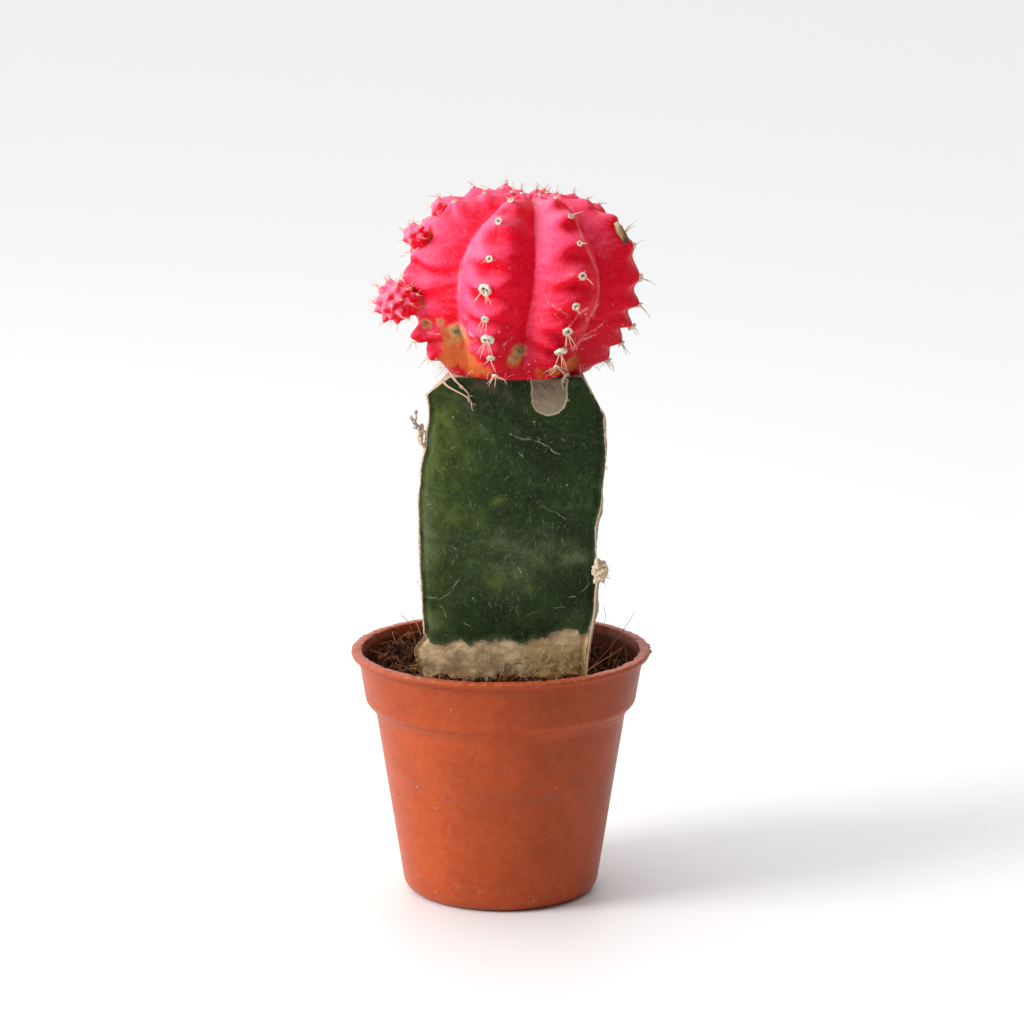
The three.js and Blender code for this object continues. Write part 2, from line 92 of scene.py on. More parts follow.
SOIL_LEVEL = 41.4
SOIL_ROUGHNESS = 0.7
SOIL_RINGS = 74
SOIL_COLUMNS = 300
GAP = 0.3

STOCK_FOOT = 22.0
GRAFT = 97.5
FRONT_FACE = -9.5
BACK_RIB = (1.5, 18.6)
CORNER = 0.42  # half the width of a rib's blunt edge
KEEL_DIP = 0.22
FACE_BULGE = (0.9, -1.4, -1.4)
# Height and X of the left and right ribs of the broad face.
LEFT_RIB = (
    (22, -12.6), (36, -14.4), (43, -15.1), (47.4, -16.0), (50.2, -14.2), (56.5, -14.5), (64, -14.9),
    (74.8, -15.1), (80, -14.7), (86, -13.7), (91, -13.1), (97.5, -13.8),
)
RIGHT_RIB = (
    (22, 13.6), (36, 15.2), (46.5, 16.0), (50, 16.4), (56, 17.8), (64.3, 17.6), (70, 17.6), (74.8, 18.6),
    (84, 19.3), (90.4, 19.0), (97.5, 18.2),
)
# Where the grower's bevels cut a rib: along X or Y at the graft, and the height at which each runs out.
LEFT_BEVEL = ((-9.2, 97.5), (-13.4, 94.2))
RIGHT_BEVEL = ((14.8, 97.5), (18.8, 90.2))
BACK_BEVEL = ((12.0, 97.5), (18.4, 90.5))
# X and height of the torn edge where the green skin ends above the corky foot.
SKIN_EDGE = (
    (-20, 50.0), (-13.8, 50.3), (-12.6, 48.6), (-10.6, 48.3), (-9.0, 49.0), (-7.4, 49.3), (-5.4, 48.4),
    (-2.8, 49.1), (-0.6, 49.4), (1.0, 49.6), (3.0, 48.6), (4.4, 48.6), (5.7, 49.4), (7.7, 49.7),
    (9.3, 50.7), (11.9, 51.0), (15.5, 50.5), (20, 50.2),
)
SCAR = {"left": 5.3, "right": 12.1, "bottom": 90.8, "rounding": 3.0, "taper": 0.14}
# Grazes on the broad face, as X and height along each: long pale ones and faint short ones.
GRAZES = (
    ((1.7, 87.5), (5.9, 86.2), (8.9, 84.8), (10.8, 83.5)),
    ((10.2, 72.6), (11.0, 72.3), (11.6, 71.8)),
    ((-14.0, 57.4), (-11.0, 56.9), (-8.8, 58.7), (-7.6, 60.6)),
    ((-11.2, 55.9), (-10.4, 54.8), (-9.6, 53.4)),
    ((-6.8, 52.7), (-5.6, 51.8)),
    ((9.8, 55.5), (11.7, 55.4)),
    ((12.4, 57.5), (13.6, 57.4)),
    ((3.0, 63.0), (3.8, 61.8)),
    ((3.2, 83.9), (4.3, 83.1)),
    ((14.6, 58.3), (16.2, 59.8)),
    ((-13.2, 74.3), (-12.5, 74.5)),
    ((-13.2, 85.7), (-12.8, 85.3)),
)
FAINT_GRAZES = (
    ((2.5, 86.6), (5.5, 86.8)), ((7.4, 74.4), (11.6, 71.9)), ((0.6, 79.1), (2.1, 80.4)),
    ((-5.8, 75.6), (-5.1, 73.3)), ((-3.2, 86.8), (-1.3, 86.6)), ((11.0, 86.8), (11.7, 86.0)),
    ((-2.2, 56.5), (-1.4, 55.5)), ((4.2, 53.8), (7.8, 55.0)), ((3.0, 55.9), (3.2, 53.4)),
    ((-9.0, 67.0), (-7.2, 66.0)), ((6.0, 69.0), (6.4, 66.4)), ((-11.5, 81.0), (-9.8, 79.6)),
)
# Soft yellow-green and grey stains on the broad face, and painted light and sheen in a lighter strip along
# the left rib: X, height, half width, half height and strength.
YELLOW_STAINS_AND_LIT_EDGE = (
    (-15.0, 76.0, 6.5, 26.0, 0.35), (-11.0, 91.4, 3.2, 5.0, 0.4), (-12.0, 80.0, 2.2, 6.0, 0.2),
    (-9.0, 76.0, 2.4, 6.0, 0.2), (-0.3, 74.9, 1.1, 0.9, 0.7), (-1.2, 59.8, 1.2, 2.4, 0.3),
    (5.4, 58.9, 0.7, 1.3, 0.5), (-4.0, 70.0, 2.6, 3.0, 0.25), (-12.6, 53.6, 3.0, 2.0, 0.3),
    (-6.0, 84.0, 3.0, 5.0, 0.2),
)
GREY_STAINS_AND_SHEEN = (
    (-14.6, 74.0, 1.6, 16.0, 0.8), (12.4, 64.4, 4.6, 1.3, 1.0), (8.0, 66.2, 5.0, 2.6, 0.55),
    (-13.2, 66.0, 1.8, 4.0, 0.6), (-13.0, 86.4, 1.4, 2.0, 0.8), (-12.4, 73.0, 1.6, 5.0, 0.4),
    (2.0, 62.0, 6.0, 4.0, 0.4), (-12.8, 52.0, 2.0, 1.6, 0.7), (14.0, 53.4, 2.6, 1.6, 0.4),
    (0.0, 68.0, 7.0, 3.0, 0.3),
)

# The head is shaped upright in a frame of its own, and then leans towards +X by some degrees. The lean
# grows between two heights of that frame, and below its middle the head drifts back towards -X.
HEAD_AT = (3.9, 0.8, 112.5)
HEAD_LEAN = 5.0
LEAN_RUN = (-16.0, 4.0)
BASE_DRIFT = 0.05
# Furrows deepen from the crown out to one radius, and run out between two radii below the middle.
FURROW_START = 15.0
FURROW_END = (11.5, 18.5)
# Radius and height along a rib's crest, from the crown down, and how far along it the areoles lie.
CREST = (
    (0, 15.2), (3, 16.5), (7, 17.0), (11, 16.4), (14.8, 14.7), (17.8, 12.0), (19.8, 8.6), (21.0, 4.6),
    (21.4, 0.6), (20.9, -3.8), (19.6, -7.4), (17.9, -10.4), (15.8, -12.9), (13.3, -15.0), (10.4, -16.8),
)
AREOLE_ROWS = (4.4, 10.0, 16.0, 21.8, 27.6, 32.8, 37.4, 41.4, 45.0)
# Each rib's direction in degrees from -Y towards +X, and how far it leans sideways by the graft.
RIBS = ((-18, 3), (29, -7), (76, 0), (121, 3), (166, -4), (211, 3), (252, 0), (296, -2))
# How far the areoles of each rib lie from the even places, as a share of the way to the next one.
RIB_SHIFTS = (0.0, -0.1, 0.12, -0.1, 0.12, -0.16, 0.2, -0.1)
# The areoles of the rib that faces the front lie at places of their own.
FRONT_RIB_ROWS = (5.0, 11.6, 18.3, 25.2, 30.4, 35.4, 38.8, 42.8, 47.4)
RIB_COLUMNS = 52
ROW_STEPS = 18
# The notch under an areole ends at this share of the way to the next, and slants down by this across a rib.
NOTCH = 0.34
SLANT = 0.14

YOUNG_HEADS = (
    {"at": (-18.5, -9.6, 111.3), "radius": 3.85, "crown": (-0.1, -0.35, 0.9), "tubercles": 38, "seed": 3},
    {"at": (-15.1, -7.6, 122.8), "radius": 2.25, "crown": (-0.7, -0.3, 0.6), "tubercles": 16, "seed": 5},
    {"at": (-10.8, -2.6, 127.2), "radius": 1.7, "crown": (-0.6, 0.1, 0.8), "tubercles": 8, "seed": 9},
)


def srgb(red, green, blue):
    """A colour given in the steps of a screen's scale, 0 to 255, as linear light."""

    def linear(step):
        share = step / 255
        return share / 12.92 if share <= 0.04045 else ((share + 0.055) / 1.055) ** 2.4

    return (linear(red), linear(green), linear(blue), 1.0)


def shaded(colour, factor):
    """A colour made lighter or darker."""
    return tuple(min(channel * factor, 1.0) for channel in colour[:3]) + (1.0,)


def colour_property(name, description, default):
    return FloatVectorProperty(
        name=name, description=description, subtype="COLOR", size=4, min=0, max=1, default=default
    )


def length_property(name, description, default):
    return FloatProperty(
        name=name, description=description, default=default, min=0, unit="LENGTH", precision=5
    )


class PotLook(PropertyGroup):
    plastic: colour_property("Plastic", "Colour of the moulded pot", srgb(174, 69, 21))
    dust: colour_property("Dust", "Colour of dust and lime marks on the pot", srgb(214, 196, 182))
    lip_flash: length_property("Lip flash", "How far the moulding flash stands out on the lip", 0.18 * MM)


class SoilLook(PropertyGroup):
    peat: colour_property("Peat", "Colour of the damp peat", srgb(60, 30, 17))
    fibre: colour_property("Fibre", "Colour of the coir fibres", srgb(198, 142, 90))
    crumb_size: length_property("Crumb size", "Radius of the largest crumbs of peat", 0.9 * MM)
    fibres: IntProperty(
        name="Fibres", description="How many coir fibres lie on the soil", default=240, min=0
    )


class RootstockLook(PropertyGroup):
    skin: colour_property("Skin", "Green of the rootstock", srgb(24, 42, 10))
    bloom: colour_property("Bloom", "Waxy blue-grey bloom on the skin", srgb(90, 104, 68))
    cork: colour_property("Cork", "Dried cork on the ribs and cuts", srgb(216, 192, 166))
    bare_foot: colour_property("Bare foot", "Peeled and dried base of the cutting", srgb(200, 174, 134))


class HeadLook(PropertyGroup):
    skin: colour_property("Skin", "Red of the grafted head", srgb(244, 74, 114))
    shade: colour_property("Shade", "Deep red in the folds", srgb(230, 0, 38))
    dry: colour_property("Dry skin", "Ochre skin that has dried near the graft", srgb(198, 92, 36))
    wool: colour_property("Wool", "Wool and spines of the areoles", srgb(236, 220, 202))
    spine_thickness: length_property("Spine thickness", "Diameter of a spine at its root", 0.22 * MM)


class StageLook(PropertyGroup):
    floor: colour_property("Floor", "Colour of the pale floor", (0.84, 0.84, 0.85, 1.0))
    key_power: FloatProperty(
        name="Key light",
        description="Power of the soft light from the upper left",
        default=7.6,
        min=0,
        unit="POWER",
    )


# ---------- Numbers and meshes ----------


def smooth(share):
    """Eases a share of 0 to 1 in and out."""
    share = np.clip(share, 0, 1)
    return share * share * (3 - 2 * share)


def band(value, start, full):
    """0 at start and 1 at full, with a smooth run between them."""
    return smooth((value - start) / (full - start))


def along(points, place):
    """The value of a list of (place, value) pairs, with a smooth run between two of them."""
    places, values = np.array(points, float).T
    place = np.asarray(place, float)
    i = np.clip(np.searchsorted(places, place) - 1, 0, len(points) - 2)
    share = smooth((place - places[i]) / (places[i + 1] - places[i]))
    return values[i] + (values[i + 1] - values[i]) * share


# Large odd numbers, one for each axis, that scatter what lies next to one another.
SCATTER = (374761393, 668265263, 1442695041)
SCATTER_SEED = 974634777
SCATTER_AGAIN = 1274126177
WORD = 0xFFFFFFFF
HALF_WORD = 0xFFFF


def lattice(cell, seed):
    """A repeatable random value from -1 to 1 for each whole-numbered cell."""
    mixed = (cell @ SCATTER + seed * SCATTER_SEED) & WORD
    mixed = ((mixed ^ (mixed >> 13)) * SCATTER_AGAIN) & WORD
    return ((mixed ^ (mixed >> 16)) & HALF_WORD) / (HALF_WORD / 2) - 1


def noise(points, size, seed=0, octaves=1):
    """Smooth random values from about -1 to 1 at points, with swells of about the given size."""
    total = np.zeros(len(points))
    for octave in range(octaves):
        place = points * (2**octave / size)
        low = np.floor(place).astype(np.int64)
        share = smooth(place - low)
        for corner in itertools.product((0, 1), repeat=3):
            weight = np.prod(np.where(corner, share, 1 - share), axis=1)
            total += weight * lattice(low + corner, seed + octave) / 2**octave
    return total


def unit(vectors):
    return vectors / np.maximum(np.linalg.norm(vectors, axis=-1, keepdims=True), 1e-12)


def ring_faces(rings, columns, turned=False):
    """Quads between closed rings. Bottom first and anticlockwise from above, they face outwards."""
    i = np.arange(columns)
    j = (i + 1) % columns
    low = np.arange(rings - 1)[:, None] * columns
    corners = [low + i, low + j, low + columns + j, low + columns + i]
    return np.stack(corners[::-1] if turned else corners, axis=-1).reshape(-1, 4).tolist()


def fan_faces(centre, start, columns, turned=False):
    """Triangles from a centre to a ring."""
    order = (1, 0) if turned else (0, 1)
    ring = [(start + i, start + (i + 1) % columns) for i in range(columns)]
    return [(centre, pair[order[0]], pair[order[1]]) for pair in ring]


def make_object(name, points, faces, material=None, marks=(), edges=()):
    """A mesh object from points in millimetres, with a value of each mark at every point."""
    mesh = bpy.data.meshes.new(name)
    mesh.from_pydata(np.asarray(points, float) * MM, list(edges), faces)
    for key, values in dict(marks).items():
        values = np.asarray(values, np.float32)
        kind, field = ("FLOAT_VECTOR", "vector") if values.ndim == 2 else ("FLOAT", "value")
        mesh.attributes.new(key, kind, "POINT").data.foreach_set(field, values.ravel())
    if faces:
        mesh.polygons.foreach_set("use_smooth", np.ones(len(mesh.polygons), bool))
    made = bpy.data.objects.new(name, mesh)
    bpy.context.scene.collection.objects.link(made)
    if material:
        mesh.materials.append(material)
    return made


def make_loft(name, rings):
    """A closed body through rings of equal length, bottom first, each running anticlockwise from above."""
    columns = len(rings[0])
    last = columns * len(rings)
    points = np.vstack([*rings, np.mean(rings[0], axis=0), np.mean(rings[-1], axis=0)])
    faces = ring_faces(len(rings), columns) + fan_faces(last, 0, columns, turned=True)
    return make_object(name, points, faces + fan_faces(last + 1, last - columns, columns))


def angles_round(count):
    """Angles at even steps round a circle."""
    return np.linspace(0, 2 * math.pi, count, endpoint=False)


def merged(forms):
    """Several forms, each given as points and faces, as one."""
    starts = itertools.accumulate((len(points) for points, _ in forms), initial=0)
    faces = [[corner + start for corner in face] for start, (_, part) in zip(starts, forms) for face in part]
    return np.vstack([points for points, _ in forms]), faces


def points_of(thing, kind="co"):
    """A mesh object's points, in millimetres, or its normals."""
    flat = np.empty(len(thing.data.vertices) * 3)
    thing.data.vertices.foreach_get(kind, flat)
    return flat.reshape(-1, 3) / (MM if kind == "co" else 1)


def turn_outwards(thing):
    """Turns a closed mesh's faces outwards."""
    mesh = bmesh.new()
    mesh.from_mesh(thing.data)
    bmesh.ops.recalc_face_normals(mesh, faces=mesh.faces)
    mesh.to_mesh(thing.data)
    mesh.free()


def remove(*things):
    for thing in things:
        bpy.data.objects.remove(thing, do_unlink=True)


def baked(thing):
    """The object with its modifiers turned into plain mesh."""
    graph = bpy.context.evaluated_depsgraph_get()
    mesh = bpy.data.meshes.new_from_object(thing.evaluated_get(graph))
    mesh.name = thing.name
    thing.modifiers.clear()
    thing.data = mesh
    return thing


def carve(thing, tool):
    """Takes a tool's volume out of an object, and removes the tool."""
    cut = thing.modifiers.new(tool.name, "BOOLEAN")
    cut.operation = "DIFFERENCE"
    cut.object = tool
    cut.solver = "EXACT"
    baked(thing)
    remove(tool)


def grown(thing, group, **inputs):
    """The object after a node group has worked on it. The inputs are given by their names."""
    modifier = thing.modifiers.new(group.name, "NODES")
    modifier.node_group = group
    sockets = {item.name: item.identifier for item in group.interface.items_tree if item.in_out == "INPUT"}
    for name, value in inputs.items():
        modifier[sockets[name]] = value
    return baked(thing)


def finish_piece(piece, node):
    """Hangs a piece under the root and hides the solid that it takes the place of."""
    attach(piece, "root")
    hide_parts(node)
    return piece


# ---------- Node trees ----------


class Nodes:
    """Adds nodes to a tree, and joins or sets their sockets as they are made."""

    def __init__(self, tree):
        self.tree = tree

    def add(self, kind, sockets=(), **settings):
        node = self.tree.nodes.new(kind)
        for key, value in settings.items():
            setattr(node, key, value)
        for key, value in dict(sockets).items():
            self.join(node.inputs[key], value)
        return node

    def join(self, socket, value):
        if isinstance(value, bpy.types.NodeSocket):
            self.tree.links.new(value, socket)
        else:
            socket.default_value = value

    def math(self, operation, first, second=0.0, third=0.0):
        node = self.add("ShaderNodeMath", {0: first, 1: second, 2: third}, operation=operation)
        return node.outputs[0]

    def times(self, first, second):
        return self.math("MULTIPLY", first, second)

    def band(self, value, start, full, low=0.0, high=1.0):
        """Runs smoothly from low at start to high at full."""
        sockets = {0: value, 1: start, 2: full, 3: low, 4: high}
        return self.add("ShaderNodeMapRange", sockets, interpolation_type="SMOOTHSTEP").outputs[0]


# How far a stroke wanders from its line, and how far into the piece it reaches.
WANDER = 1.3
STROKE_DEPTH = 5.0


class Finish(Nodes):
    """A material made of nodes on the piece's own coordinates."""

    def __init__(self, name):
        self.material = bpy.data.materials.new(name)
        self.material.use_nodes = True
        super().__init__(self.material.node_tree)
        self.tree.nodes.clear()
        self.shader = self.add("ShaderNodeBsdfPrincipled")
        self.add("ShaderNodeOutputMaterial", {"Surface": self.shader.outputs[0]})
        self.place = self.add("ShaderNodeTexCoord").outputs["Object"]

    def set(self, **values):
        """Sets sockets of the shader, with an underscore for each space of their names."""
        for key, value in values.items():
            self.join(self.shader.inputs[key.replace("_", " ")], value)

    def stretched(self, x, y, z):
        return self.add("ShaderNodeMapping", {"Vector": self.place, "Scale": (x, y, z)}).outputs[0]

    def noise(self, size, detail=2.0, rough=0.5, place=None, twist=0.0):
        """Soft noise with swells of about the given size in millimetres."""
        sockets = {"Vector": place or self.place, "Scale": 1 / (size * MM), "Detail": detail}
        sockets |= {"Roughness": rough, "Distortion": twist}
        return self.add("ShaderNodeTexNoise", sockets).outputs["Fac"]

    def specks(self, spacing, radius):
        """Small round specks, 1 inside, at random places about the given spacing apart."""
        sockets = {"Vector": self.place, "Scale": 1 / (spacing * MM), "Randomness": 1.0}
        cells = self.add("ShaderNodeTexVoronoi", sockets)
        chance = self.add("ShaderNodeSeparateColor", {0: cells.outputs["Color"]}).outputs[0]
        reach = self.times(chance, radius / spacing)
        return self.band(self.math("SUBTRACT", cells.outputs["Distance"], reach), 0.06, -0.02)

    def strokes(self, lines, width, depth_at):
        """Fine tapering strokes along lines of X and height, on what faces -Y about depth_at."""
        total = None
        sockets = {"Vector": self.place, "Scale": 1 / (1.6 * MM), "Detail": 3.0}
        pattern = self.add("ShaderNodeTexNoise", sockets).outputs["Color"]
        sockets = {0: pattern, 1: (WANDER * MM,) * 3, 2: self.place}
        place = self.add("ShaderNodeVectorMath", sockets, operation="MULTIPLY_ADD").outputs[0]
        for (x0, z0), (x1, z1) in itertools.chain(*(zip(line, line[1:]) for line in lines)):
            # The wandering shifts the whole by half its reach, which the middle makes up for.
            middle = ((x0 + x1 + WANDER) / 2 * MM, depth_at * MM, (z0 + z1 + WANDER) / 2 * MM)
            length = math.hypot(x1 - x0, z1 - z0)
            turn = (0, -math.atan2(z1 - z0, x1 - x0), 0)
            size = (length * 0.62 * MM, STROKE_DEPTH * MM, width / 2 * MM)
            sockets = {"Vector": place, "Location": middle, "Rotation": turn, "Scale": size}
            inside = self.add("ShaderNodeMapping", sockets, vector_type="TEXTURE").outputs[0]
            far = self.add("ShaderNodeVectorMath", {0: inside}, operation="LENGTH").outputs["Value"]
            stroke = self.band(far, 1.0, 0.55)
            total = stroke if total is None else self.math("MAXIMUM", total, stroke)
        return total

    def mark(self, name):
        return self.add("ShaderNodeAttribute", attribute_name=name).outputs["Fac"]

    def height(self):
        """The height above the floor, in millimetres."""
        z = self.add("ShaderNodeSeparateXYZ", {0: self.place}).outputs[2]
        return self.times(z, 1 / MM)

    def mix(self, share, first, second):
        sockets = {0: share, 6: first, 7: second}
        return self.add("ShaderNodeMix", sockets, data_type="RGBA").outputs[2]

    def tint(self, colour, share, strength, other):
        """A colour with some of another over it, by a share of 0 to 1."""
        return self.mix(self.times(share, strength), colour, other)

    def frayed(self, distance, size, reach, detail=2.0, rough=0.5):
        """A distance in millimetres that wavers to both sides by half of a reach."""
        waver = self.math("MULTIPLY_ADD", self.noise(size, detail, rough), reach, -reach / 2)
        return self.math("ADD", distance, waver)

    def uneven(self, mark, pattern, reach):
        """A mark that a pattern of 0 to 1 raises or lowers by up to half of a reach."""
        return self.math("MULTIPLY_ADD", self.math("SUBTRACT", pattern, 0.5), reach, self.mark(mark))

    def clouded(self, colour, pattern, start, full, dark, light):
        """A colour that a pattern turns from a darker shade of itself to a lighter one."""
        return self.mix(self.band(pattern, start, full), shaded(colour, dark), shaded(colour, light))

    def bump(self, height, depth, under=None):
        """Relief from a height of 0 to 1 that stands for a depth in millimetres."""
        sockets = {"Height": height, "Distance": depth * MM, "Strength": 1.0}
        if under:
            sockets["Normal"] = under
        return self.add("ShaderNodeBump", sockets).outputs[0]


class Tree(Nodes):
    """A Geometry Nodes tree with named inputs."""

    def __init__(self, name, **inputs):
        self.group = bpy.data.node_groups.new(name, "GeometryNodeTree")
        super().__init__(self.group)
        interface = self.group.interface
        interface.new_socket("Geometry", in_out="INPUT", socket_type="NodeSocketGeometry")
        interface.new_socket("Geometry", in_out="OUTPUT", socket_type="NodeSocketGeometry")
        for key, default in inputs.items():
            kind = "NodeSocket" + {float: "Float", int: "Int", str: default}[type(default)]
            socket = interface.new_socket(key, in_out="INPUT", socket_type=kind)
            if not isinstance(default, str):
                socket.default_value = default
        self.inputs = self.add("NodeGroupInput").outputs
        self.geometry = self.inputs["Geometry"]

    def mark(self, name, kind="FLOAT"):
        return self.add("GeometryNodeInputNamedAttribute", {0: name}, data_type=kind).outputs[0]

    def scaled(self, way, length):
        """A vector made longer or shorter."""
        return self.add("ShaderNodeVectorMath", {0: way, "Scale": length}, operation="SCALE").outputs[0]

    def finish(self, geometry):
        """Ends the tree: everything becomes real mesh with the tree's material."""
        real = self.add("GeometryNodeRealizeInstances", {0: geometry}).outputs[0]
        even = self.add("GeometryNodeSetShadeSmooth", {0: real}).outputs[0]
        sockets = {0: even, "Material": self.inputs["Material"]}
        coated = self.add("GeometryNodeSetMaterial", sockets).outputs[0]
        self.add("NodeGroupOutput", {0: coated})
        return self.group


@lru_cache(maxsize=None)
def strand_tree():
    """Turns lines of edges into tapering round strands."""
    tree = Tree("Strands along lines", Sides=5, Thickness=1.0, Material="Material")
    line = tree.add("GeometryNodeMeshToCurve", {0: tree.geometry}).outputs[0]
    section = tree.add("GeometryNodeCurvePrimitiveCircle", {0: tree.inputs["Sides"], 4: 1.0}).outputs[0]
    radius = tree.times(tree.mark("radius_at"), tree.inputs["Thickness"])
    sockets = {"Curve": line, "Profile Curve": section, "Scale": radius, "Fill Caps": True}
    return tree.finish(tree.add("GeometryNodeCurveToMesh", sockets).outputs[0])


@lru_cache(maxsize=None)
def setting_tree():
    """Sets a copy of a small piece on every point, turned to the way that the point faces."""
    tree = Tree("Set on points", Piece="Object", Size=1.0, Material="Material")
    piece = tree.add("GeometryNodeObjectInfo", {0: tree.inputs["Piece"]}).outputs["Geometry"]
    facing = tree.mark("facing", "FLOAT_VECTOR")
    turn = tree.add("FunctionNodeAlignRotationToVector", {"Vector": facing}, axis="Z").outputs[0]
    spin = tree.add("FunctionNodeAxisAngleToRotation", {0: (0, 0, 1), 1: tree.mark("spin")}).outputs[0]
    turn = tree.add("FunctionNodeRotateRotation", {0: turn, 1: spin}, rotation_space="LOCAL").outputs[0]
    size = tree.times(tree.mark("size"), tree.inputs["Size"])
    sockets = {"Points": tree.geometry, "Instance": piece, "Rotation": turn, "Scale": size}
    return tree.finish(tree.add("GeometryNodeInstanceOnPoints", sockets).outputs[0])


@lru_cache(maxsize=None)
def crumb_tree():
    """Scatters rough crumbs over the soil where it lies open."""
    sizes = {"Density": 1.6e6, "Size": 0.9 * MM, "Raggedness": 0.9 * MM}
    tree = Tree("Crumbs of peat", **sizes, Seed=4, Material="Material")
    sockets = {0: tree.geometry, "Density": tree.times(tree.mark("open"), tree.inputs["Density"])}
    points = tree.add("GeometryNodeDistributePointsOnFaces", sockets | {"Seed": tree.inputs["Seed"]})
    crumb = tree.add("GeometryNodeMeshUVSphere", {"Segments": 7, "Rings": 5, "Radius": 1.0}).outputs[0]
    sockets = {0: (0, 0, 0), 1: (FULL_TURN,) * 3, "Seed": 1}
    turn = tree.add("FunctionNodeRandomValue", sockets, data_type="FLOAT_VECTOR")
    sockets = {0: (0.2, 0.2, 0.2), 1: (1, 0.8, 0.6), "Seed": 2}
    flat = tree.add("FunctionNodeRandomValue", sockets, data_type="FLOAT_VECTOR")
    size = tree.add("FunctionNodeRandomValue", {2: 0.25, 3: 1.2, "Seed": 3})
    share = tree.times(tree.math("POWER", size.outputs[1], 2.0), tree.inputs["Size"])
    sockets = {"Points": points.outputs[0], "Instance": crumb, "Rotation": turn.outputs[0]}
    sockets["Scale"] = tree.scaled(flat.outputs[0], share)
    crumbs = tree.add("GeometryNodeInstanceOnPoints", sockets).outputs[0]
    real = tree.add("GeometryNodeRealizeInstances", {0: crumbs}).outputs[0]
    rough = tree.add("ShaderNodeTexNoise", {"Scale": 1500.0, "Detail": 1.0}).outputs["Color"]
    sockets = {0: rough, 1: (0.5, 0.5, 0.5)}
    centred = tree.add("ShaderNodeVectorMath", sockets, operation="SUBTRACT").outputs[0]
    shift = tree.scaled(centred, tree.inputs["Raggedness"])
    return tree.finish(tree.add("GeometryNodeSetPosition", {0: real, "Offset": shift}).outputs[0])


@lru_cache(maxsize=None)
def rib_tree():
    """Cuts the furrows between the ribs of a turned head, and raises the tubercles under its areoles."""
    tree = Tree(
        "Ribs and tubercles",
        **{"Furrow depth": 3.9 * MM, "Furrow sharpness": 1.7, "Chin at the crown": 0.9 * MM},
        **{"Chin lower down": 1.8 * MM, "Notch": NOTCH, "Slant": SLANT, "Reach": 1.0},
        Material="Material",
    )
    across = tree.mark("across")
    row = tree.mark("row")
    depth = tree.times(tree.mark("furrow_share"), tree.inputs["Furrow depth"])
    furrow = tree.times(depth, tree.math("POWER", across, tree.inputs["Furrow sharpness"]))
    lower = tree.band(row, 0.0, 3.0)
    span = tree.math("SUBTRACT", tree.inputs["Chin lower down"], tree.inputs["Chin at the crown"])
    proud = tree.math("MULTIPLY_ADD", lower, span, tree.inputs["Chin at the crown"])
    proud = tree.times(proud, tree.mark("fade"))
    sunk = tree.times(across, tree.inputs["Slant"])
    place = tree.math("FRACT", tree.math("SUBTRACT", row, sunk))
    notch = tree.inputs["Notch"]
    falling = tree.band(place, 0.0, notch, 1.0, 0.0)
    rising = tree.band(place, notch, 1.0)
    chin = tree.math("SUBTRACT", tree.math("ADD", falling, rising), 0.75)
    flank = tree.math("POWER", tree.math("SUBTRACT", 1.0, across), tree.inputs["Reach"])
    ridge = tree.times(tree.times(proud, flank), chin)
    rise = tree.math("SUBTRACT", ridge, furrow)
    outward = tree.mark("outward", "FLOAT_VECTOR")
    sockets = {0: tree.geometry, "Offset": tree.scaled(outward, rise)}
    return tree.finish(tree.add("GeometryNodeSetPosition", sockets).outputs[0])


class Strands:
    """Collects lines that become one object of tapering strands."""

    def __init__(self, seed):
        self.random = np.random.default_rng(seed)
        self.points, self.edges, self.radii, self.tints, self.places = [], [], [], [], []

    def line(self, path, root, tip, tint=0.5):
        """Adds a line with its radius in millimetres at the root and the tip."""
        path = np.asarray(path, float)
        start = len(self.points)
        share = np.linspace(0, 1, len(path))
        self.points.extend(path)
        self.edges.extend((start + i, start + i + 1) for i in range(len(path) - 1))
        self.radii.extend(root + (tip - root) * share**1.4)
        self.tints.extend(np.full(len(path), tint))
        self.places.extend(share)

    def curved(self, start, way, length, droop=0.0, curl=0.0, steps=7):
        """A path that leaves start in a way, sinks by droop and wanders by curl."""
        way = unit(np.asarray(way, float))
        wander = unit(np.cross(way, unit(self.random.normal(size=3))))
        phase = self.random.uniform(0, FULL_TURN)
        path = [np.asarray(start, float)]
        for i in range(1, steps):
            share = i / (steps - 1)
            bend = wander * curl * math.sin(3.2 * share + phase)
            step = unit(way + bend + np.array((0, 0, -droop * share)))
            path.append(path[-1] + step * length / (steps - 1))
        return np.array(path)

    def finished(self, name, material, sides=5, thickness=1.0):
        """All the lines as one object. Thickness scales every strand."""
        marks = {"radius_at": np.array(self.radii) * MM, "tint": self.tints, "strand_share": self.places}
        lines = make_object(name, self.points, [], marks=marks, edges=self.edges)
        return grown(lines, strand_tree(), Sides=sides, Thickness=thickness, Material=material)


# ---------- Pot ----------


def wall_radius(height):
    """The outside of the pot's body, carried down to the floor."""
    return FOOT_RADIUS + (STEP_RADIUS - FOOT_RADIUS) * height / STEP_HEIGHT


def pot_inside():
    """The inside of the pot from its floor up, as radius and height."""
    floor_radius = wall_radius(FLOOR_TOP) - POT_WALL
    return [
        (floor_radius - 1.2, FLOOR_TOP),
        (floor_radius, FLOOR_TOP + 1.0),
        (wall_radius(STEP_HEIGHT) - POT_WALL, STEP_HEIGHT + 0.4),
        (BAND_BOTTOM_RADIUS - POT_WALL, BAND_BOTTOM + 0.2),
        (MOUTH_RADIUS - 0.35, POT_TOP - LIP_THICKNESS),
    ]


def arc(centre, radius, start, end, steps):
    angles = np.radians(np.linspace(start, end, steps + 1))
    return [(centre[0] + radius * math.cos(a), centre[1] + radius * math.sin(a)) for a in angles]


def filled(points, step):
    """The points of a line with others between them, no further apart than step."""
    line = [points[0]]
    for start, end in zip(points, points[1:]):
        count = max(1, math.ceil(math.dist(start, end) / step))
        line += [tuple(np.add(start, np.subtract(end, start) * i / count)) for i in range(1, count + 1)]
    return line


